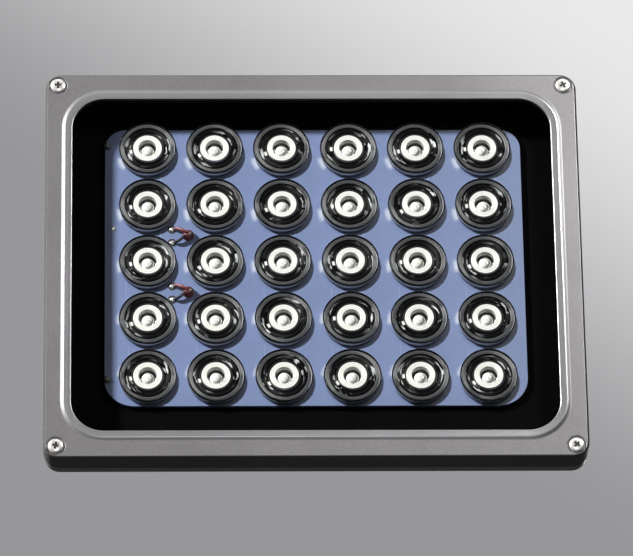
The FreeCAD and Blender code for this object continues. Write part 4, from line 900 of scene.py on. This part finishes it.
foot_profile = [(10.6, 0.0), (11.3, 0.0), (11.4, 0.8), (11.4, 0.95), (10.6, 0.95)]
holder_profile = [(10.7, 0.95), (11.4, 0.95), (12.06, 4.95)]
holder_profile += arc((11.8, 5.1), 0.28, 0, 90, 4)
holder_profile += arc((11.64, 5.18), 0.2, 90, 180, 3)
holder_profile += [(11.43, 4.9), (11.42, 3.95), (10.7, 3.85)]
flange_profile = [(11.2, 3.95), (11.22, 4.97)]
flange_profile += arc((11.06, 4.98), 0.16, 0, 90, 3)
flange_profile += [
    (10.5, 5.12), (10.02, 5.1), (9.94, 5.0), (9.76, 5.0), (9.66, 5.09), (9.2, 5.08), (8.7, 4.99), (8.0, 4.88),
    (7.3, 4.83), (6.95, 4.86), (6.82, 5.0), (6.62, 5.0), (6.5, 4.9), (6.47, 4.2), (6.05, 4.17),
]
disc_profile = [(6.07, 4.18), (6.08, 4.98)]
disc_profile += arc((5.96, 4.99), 0.12, 0, 90, 3)
disc_profile += [(5.45, 5.12), (5.32, 5.06), (5.18, 5.11), (4.6, 5.12), (4.5, 5.07), (4.4, 5.12)]
disc_profile.append((4.02, 5.11))
disc_profile += arc((4.02, 4.89), 0.22, 90, 180, 4)
disc_profile += [(3.79, 4.75)]
well_profile = [(3.8, 4.78), (3.7, 4.2), (3.55, 3.2), (3.4, 2.2), (3.3, 1.75), (3.05, 1.6), (2.5, 1.58)]
dome_profile = [(2.62, 1.56), (2.6, 1.7)] + arc((0.0, -0.65), 3.35, 41, 87, 7) + [(0.0, 2.7)]
print(len(LENS_PLACES), "lenses")

# %% Help with the lens's finishes
BAND_REACH = 12.0
PAINTED_LIGHT_ANGLE = 38
PAINTED_SPOT_ANGLE = 212
RIB_COUNT = 60
# The rim's bands: from which radius in mm, its grey on the dim side and on the lit side.
# The dim grey is painted shade and the lit grey painted light.
RIM_BANDS = [
    (0.0, 0.002, 0.004), (6.5, 0.002, 0.004), (6.55, 0.05, 0.12), (6.75, 0.04, 0.08),
    (6.9, 0.003, 0.008), (7.4, 0.004, 0.02), (8.3, 0.008, 0.06), (9.0, 0.004, 0.025),
    (9.6, 0.004, 0.02), (9.85, 0.006, 0.03), (9.95, 0.17, 0.48), (10.1, 0.14, 0.38),
    (10.25, 0.055, 0.20), (10.7, 0.085, 0.26), (10.95, 0.14, 0.42), (11.1, 0.004, 0.004),
]


def map_parts(tree, name):
    """Both coordinates of one of a turned piece's maps."""
    unwrapped = add_node(tree, "ShaderNodeUVMap", uv_map=name)
    return add_node(tree, "ShaderNodeSeparateXYZ", {0: unwrapped.outputs["UV"]}).outputs


def section_mm(tree, axis="X"):
    """Distance from the lens's axis, or height over the board for Y, in millimetres."""
    return times(tree, map_parts(tree, "section")[axis], 10.0)


def banded(tree, measure, bands):
    """Colour that steps along a measure, as (from, colour) pairs in millimetres."""
    ramp = add_node(tree, "ShaderNodeValToRGB", {0: calc(tree, "DIVIDE", measure, BAND_REACH)})
    elements = ramp.color_ramp.elements
    while len(elements) < len(bands):
        elements.new(1.0)
    for element, (start, colour) in zip(elements, bands):
        element.position = start / BAND_REACH
        element.color = (*colour, 1)
    return ramp.outputs[0]


def turn_cosine(tree, degrees):
    """Cosine of the angle about the lens's axis, from a given angle."""
    around = map_parts(tree, "round")["X"]
    return calc(tree, "COSINE", calc(tree, "MULTIPLY_ADD", around, 2 * math.pi, -math.radians(degrees)))


def turn_wave(tree, degrees, power):
    """Share that is 1 towards an angle about the axis and towards its opposite."""
    wave = turn_cosine(tree, degrees)
    return calc(tree, "POWER", times(tree, wave, wave), power)


def ring_share(tree, radius, rise, fall):
    """Share of a ring that fades in over one pair of radii and out over another."""
    return times(tree, steps_of(tree, radius, *rise), steps_of(tree, radius, *fall))


def streak_noise(tree, radius):
    """Noise drawn out round the lens, different in every lens."""
    around = times(tree, map_parts(tree, "round")["X"], 11.0)
    spot = add_node(tree, "ShaderNodeCombineXYZ", {"X": around, "Y": times(tree, radius, 0.9)})
    place = add_node(tree, "ShaderNodeTexCoord").outputs["Object"]
    drift = vector_calc(tree, "MULTIPLY_ADD", {0: place, 1: (45.0, 45.0, 60.0), 2: spot.outputs[0]})
    return noise_of(tree, 1.0, 2.0, drift[0])


def banded_plastic(name, axis, roughness, bands):
    """Plastic whose warm grey steps by radius for X or by height for Y."""
    material, tree, shader = new_material(name)
    creams = [(start, (grey, grey * 0.985, grey * 0.93)) for start, grey in bands]
    feed(tree, shader, {"Base Color": banded(tree, section_mm(tree, axis), creams), "Roughness": roughness})
    return material


print("lens helpers ready")

# %% The lens's dark glossy rim, banded by radius, with a painted lit side, painted glints and a painted reflection of the lamp
lens_rim_gloss, tree, shader = new_material("lens_rim_gloss")
radius = section_mm(tree)
dim = banded(tree, radius, [(start, (grey, grey, grey * 1.06)) for start, grey, _ in RIM_BANDS])
lit = banded(tree, radius, [(start, (grey, grey, grey)) for start, _, grey in RIM_BANDS])
# Towards the painted-light angle and its opposite, the rim takes its lit greys: painted light.
slow = steps_of(tree, noise_of(tree, 150.0, 1.0), 0.36, 0.58)
colour = blend(tree, times(tree, turn_wave(tree, PAINTED_LIGHT_ANGLE, 1.6), slow), dim, lit)
# Pale streaks there are painted glints.
painted_streaks = steps_of(tree, streak_noise(tree, radius), 0.57, 0.62)
painted_streaks = times(tree, painted_streaks, ring_share(tree, radius, (7.0, 7.4), (9.8, 9.4)))
painted_glints = times(tree, painted_streaks, turn_wave(tree, PAINTED_LIGHT_ANGLE, 2.2))
colour = blend(tree, painted_glints, colour, (0.80, 0.81, 0.82, 1))
# A pale spot near the disc is a painted reflection of the lamp.
facing = steps_of(tree, turn_cosine(tree, PAINTED_SPOT_ANGLE), 0.988, 0.997)
spot = times(tree, ring_share(tree, radius, (6.6, 6.9), (8.0, 7.6)), facing)
colour = blend(tree, spot, colour, (0.92, 0.92, 0.90, 1))
feed(tree, shader, {"Base Color": colour, "Roughness": 0.08, "IOR": 1.35})
print("rim with", len(tree.nodes), "nodes")

# %% Smoked clear plastic with fine upright ribs, black at its rim, painted dark towards its foot
smoked_clear_plastic, tree, shader = new_material("smoked_clear_plastic")
parts = map_parts(tree, "round")
height = times(tree, parts["Y"], 10.0)
ribs = calc(tree, "SINE", times(tree, parts["X"], 2 * math.pi * RIB_COUNT))
relief = add_node(tree, "ShaderNodeBump", {"Height": ribs, "Strength": 0.35, "Distance": mm(0.12)})
# Dark near the board and pale higher up: painted shade at the foot and painted light above.
wall = blend(tree, steps_of(tree, height, 1.4, 4.2), (0.06, 0.065, 0.10, 1), (0.56, 0.57, 0.62, 1))
feed(tree, shader, {
    "Base Color": blend(tree, steps_of(tree, height, 4.55, 4.85), wall, (0.003, 0.003, 0.004, 1)),
    "Roughness": 0.22, "Specular IOR Level": 0.12, "Normal": relief.outputs["Normal"],
})
clear = add_node(tree, "ShaderNodeBsdfTransparent", {"Color": (0.55, 0.58, 0.64, 1)})
show_mix(tree, ranged(tree, height, 4.0, 4.9, 0.75, 1.0), clear, shader)
print("smoked plastic with", len(tree.nodes), "nodes")

# %% Clear film with a painted pool of light that fades out with distance from the holder's foot
gathered_light, tree, shader = new_material("gathered_light")
feed(tree, shader, {"Base Color": (0.56, 0.60, 0.70, 1), "Roughness": 0.5})
# Pale only on the side that faces the lamp and close to the foot: a painted pool of light.
sides = steps_of(tree, turn_wave(tree, 0, 1.0), 0.91, 0.998)
near = steps_of(tree, section_mm(tree), 14.2, 11.9)
clear = add_node(tree, "ShaderNodeBsdfTransparent")
show_mix(tree, times(tree, sides, near), clear, shader)
print("film with", len(tree.nodes), "nodes")

# %% The pale cone, the dark well and the dome, whose greys hold painted reflection, shade and light
# The cone's near-white cream is a painted reflection of the emitter; its faint darker rings are its own.
mirror_cone = banded_plastic("mirror_cone", "X", 0.3, [
    (0.0, 0.90), (4.0, 0.96), (4.4, 0.94), (4.5, 0.80), (4.65, 0.97), (5.15, 0.97), (5.3, 0.78),
    (5.45, 0.97), (5.9, 0.97), (6.07, 0.60),
])
# The well is dark deep down and lighter near its mouth: painted shade and painted light.
well_gloss = banded_plastic("well_gloss", "Y", 0.2, [
    (0.0, 0.05), (1.9, 0.006), (3.0, 0.012), (3.4, 0.30), (4.3, 0.38), (4.5, 0.05), (4.8, 0.03),
])
# The dome's near white is painted light that comes through the clear lens.
dome_gloss = banded_plastic("dome_gloss", "X", 0.12, [
    (0.0, 0.50), (0.35, 0.86), (0.9, 0.96), (1.5, 0.94), (1.75, 0.60), (1.95, 0.95), (2.55, 0.95),
])
print("cone, well and dome ready")

# %% The layers of the thirty lenses
FEET = "lens_holder_feet"
holder_foot = FINISH["holder_foot"]
# Each layer: profile, steps round, whether its profile closes, finish, chance, slot, nodes.
LENS_LAYERS = {
    FEET: (foot_profile, LENS_STEPS, True, holder_foot, {}, "holder_black", ["lens_holders"]),
    "lens_holder_rings": (
        holder_profile, LENS_STEPS, True, smoked_clear_plastic, {"random_turn": 360.0, "seed": 3},
        "holder_black", [],
    ),
    "lens_rims": (
        flange_profile, LENS_STEPS, False, lens_rim_gloss, {"random_turn": 30.0, "lean": 0.5, "seed": 7},
        "lens_acrylic", LENS_NODES,
    ),
    "lens_mirror_cones": (
        disc_profile, LENS_STEPS, False, mirror_cone, {"random_turn": 360.0, "lean": 0.5, "seed": 11},
        "lens_acrylic", [],
    ),
    "lens_wells": (well_profile, 40, False, well_gloss, {}, "lens_acrylic", []),
    "lens_domes": (dome_profile, 32, False, dome_gloss, {}, "lens_acrylic", []),
}
for name, (profile, steps, closes, finish, chance, slot, nodes) in LENS_LAYERS.items():
    layer = set_out(name, turned(name, profile, steps, closes), LENS_PLACES, finish, **chance)
    fit(layer, None, slot, *nodes)
    layer.visible_shadow = name == FEET
# The pale side of each film is turned by row, towards where the window lamp's light would fall.
FILM_TURN = -181.0
TURN_PER_MM = -0.42
LEVEL_ROW = 3.6
film = spun("film", [(radius, 0.08) for radius in (11.45, 12.3, 13.2, 14.1)], sweep(8, -18.0, 18.0))
film_turns = [FILM_TURN + TURN_PER_MM * (high - LEVEL_ROW) for across, forward, high in LENS_PLACES]
patches = set_out("gathered_light_film", film, LENS_PLACES, gathered_light, film_turns)
fit(patches, None, "lens_acrylic")
patches.visible_shadow = False

# %% [markdown]
# ## The leads
#
# Two pairs of wires come through the board from the driver. Each wire has coloured insulation,
# a short bare end and a blob of solder on its pad, and a dab of dark red sealing varnish holds
# each pair in its hole. A wire is a round-bevelled spline that is turned into a mesh.

# %% Wires, solder and varnish
LEAD_HOLE = -52.55
LEAD_ROWS = {"upper": 17.75, "lower": -8.75}
LEAD_RADIUS = 0.62
BARE_RADIUS = 0.36
# Each wire of a pair: how much it rises over the board, and how far up its pad lies.
WIRES = {"red": (1.0, 2.9), "black": (0.0, -3.3)}
# A wire's way from its pad through the hole: across from the hole, forward, and its shares of
# the rise and of the pad's height.
WIRE_WAY = (
    (-5.4, 118.2, 0, 1.0), (-4.4, 118.6, 0, 1.02), (-3.0, 118.7, 1, 0.72), (-1.2, 119.3, 1, 0.2),
    (0.1, 118.6, 1, 0.12), (0.2, 116.6, 0, 0.14), (0.2, 112.0, 0, 0.14), (0.2, 101.7, 0, 0.14),
)


def wire(name, points, radius):
    """Mesh of a round wire through (across, forward, up) points."""
    data = bpy.data.curves.new(name, "CURVE")
    data.dimensions = "3D"
    data.bevel_depth = mm(radius)
    data.bevel_resolution = 3
    data.use_fill_caps = True
    spline = data.splines.new("NURBS")
    spline.points.add(len(points) - 1)
    for point, (across, forward, high) in zip(spline.points, points):
        point.co = (*mm(across, -forward, high), 1)
    spline.order_u = 4
    spline.resolution_u = 8
    spline.use_endpoint_u = True
    source = new_piece(name, data)
    mesh = worked_out(source)
    bpy.data.objects.remove(source)
    smooth(mesh, 50.0)
    return mesh


pads = []
for row, high in LEAD_ROWS.items():
    for colour, (rise, end_up) in WIRES.items():
        path = [
            (LEAD_HOLE + across, forward + risen * rise, high + end_up * share)
            for across, forward, risen, share in WIRE_WAY
        ]
        piece = new_piece(f"{colour}_lead_{row}", wire("lead", path, LEAD_RADIUS))
        insulation = f"{colour}_insulation"
        fit(piece, FINISH[insulation], insulation, f"lead_{colour}_{row}")
        bare = [(LEAD_HOLE - 6.9, 117.7, high + end_up), (LEAD_HOLE - 6.2, 118.0, high + end_up), path[0]]
        tip = new_piece(f"{colour}_lead_{row}_bare_end", wire("bare", bare, BARE_RADIUS))
        fit(tip, FINISH["solder"], "nickel_plate")
        pads.append((LEAD_HOLE - 6.6, -BOARD_FRONT, high + end_up))
holes = [(LEAD_HOLE + 0.2, -BOARD_FRONT, high) for high in LEAD_ROWS.values()]
# Each drop: profile, steps round, places, finish, turn and slot.
DROPS = {
    "solder_blobs": (
        [(1.15, 0.04), (1.0, 0.3), (0.8, 0.5), (0.5, 0.64), (0.0, 0.7)], 20, pads,
        "solder", 0.0, "nickel_plate",
    ),
    "lead_pads": (
        [(2.0, -0.02), (2.0, 0.05), (1.94, 0.08), (0.0, 0.08)], 8, pads, "dark_pad", 22.5, "black_plate",
    ),
    "hole_varnish": (
        [(2.5, -0.02), (2.46, 0.5), (2.25, 1.3), (1.8, 2.05), (1.1, 2.6), (0.0, 2.8)], 24, holes,
        "red_varnish", 0.0, "red_insulation",
    ),
    "board_test_point": (
        [(0.75, -0.02), (0.68, 0.25), (0.4, 0.42), (0.0, 0.48)], 16, [(-83.6, -BOARD_FRONT, 21.0)],
        "test_point", 0.0, "nickel_plate",
    ),
}
for name, (profile, steps, places, finish, turn, slot) in DROPS.items():
    drops = set_out(name, turned(name, profile, steps), places, FINISH[finish], [turn] * len(places))
    fit(drops, None, slot)
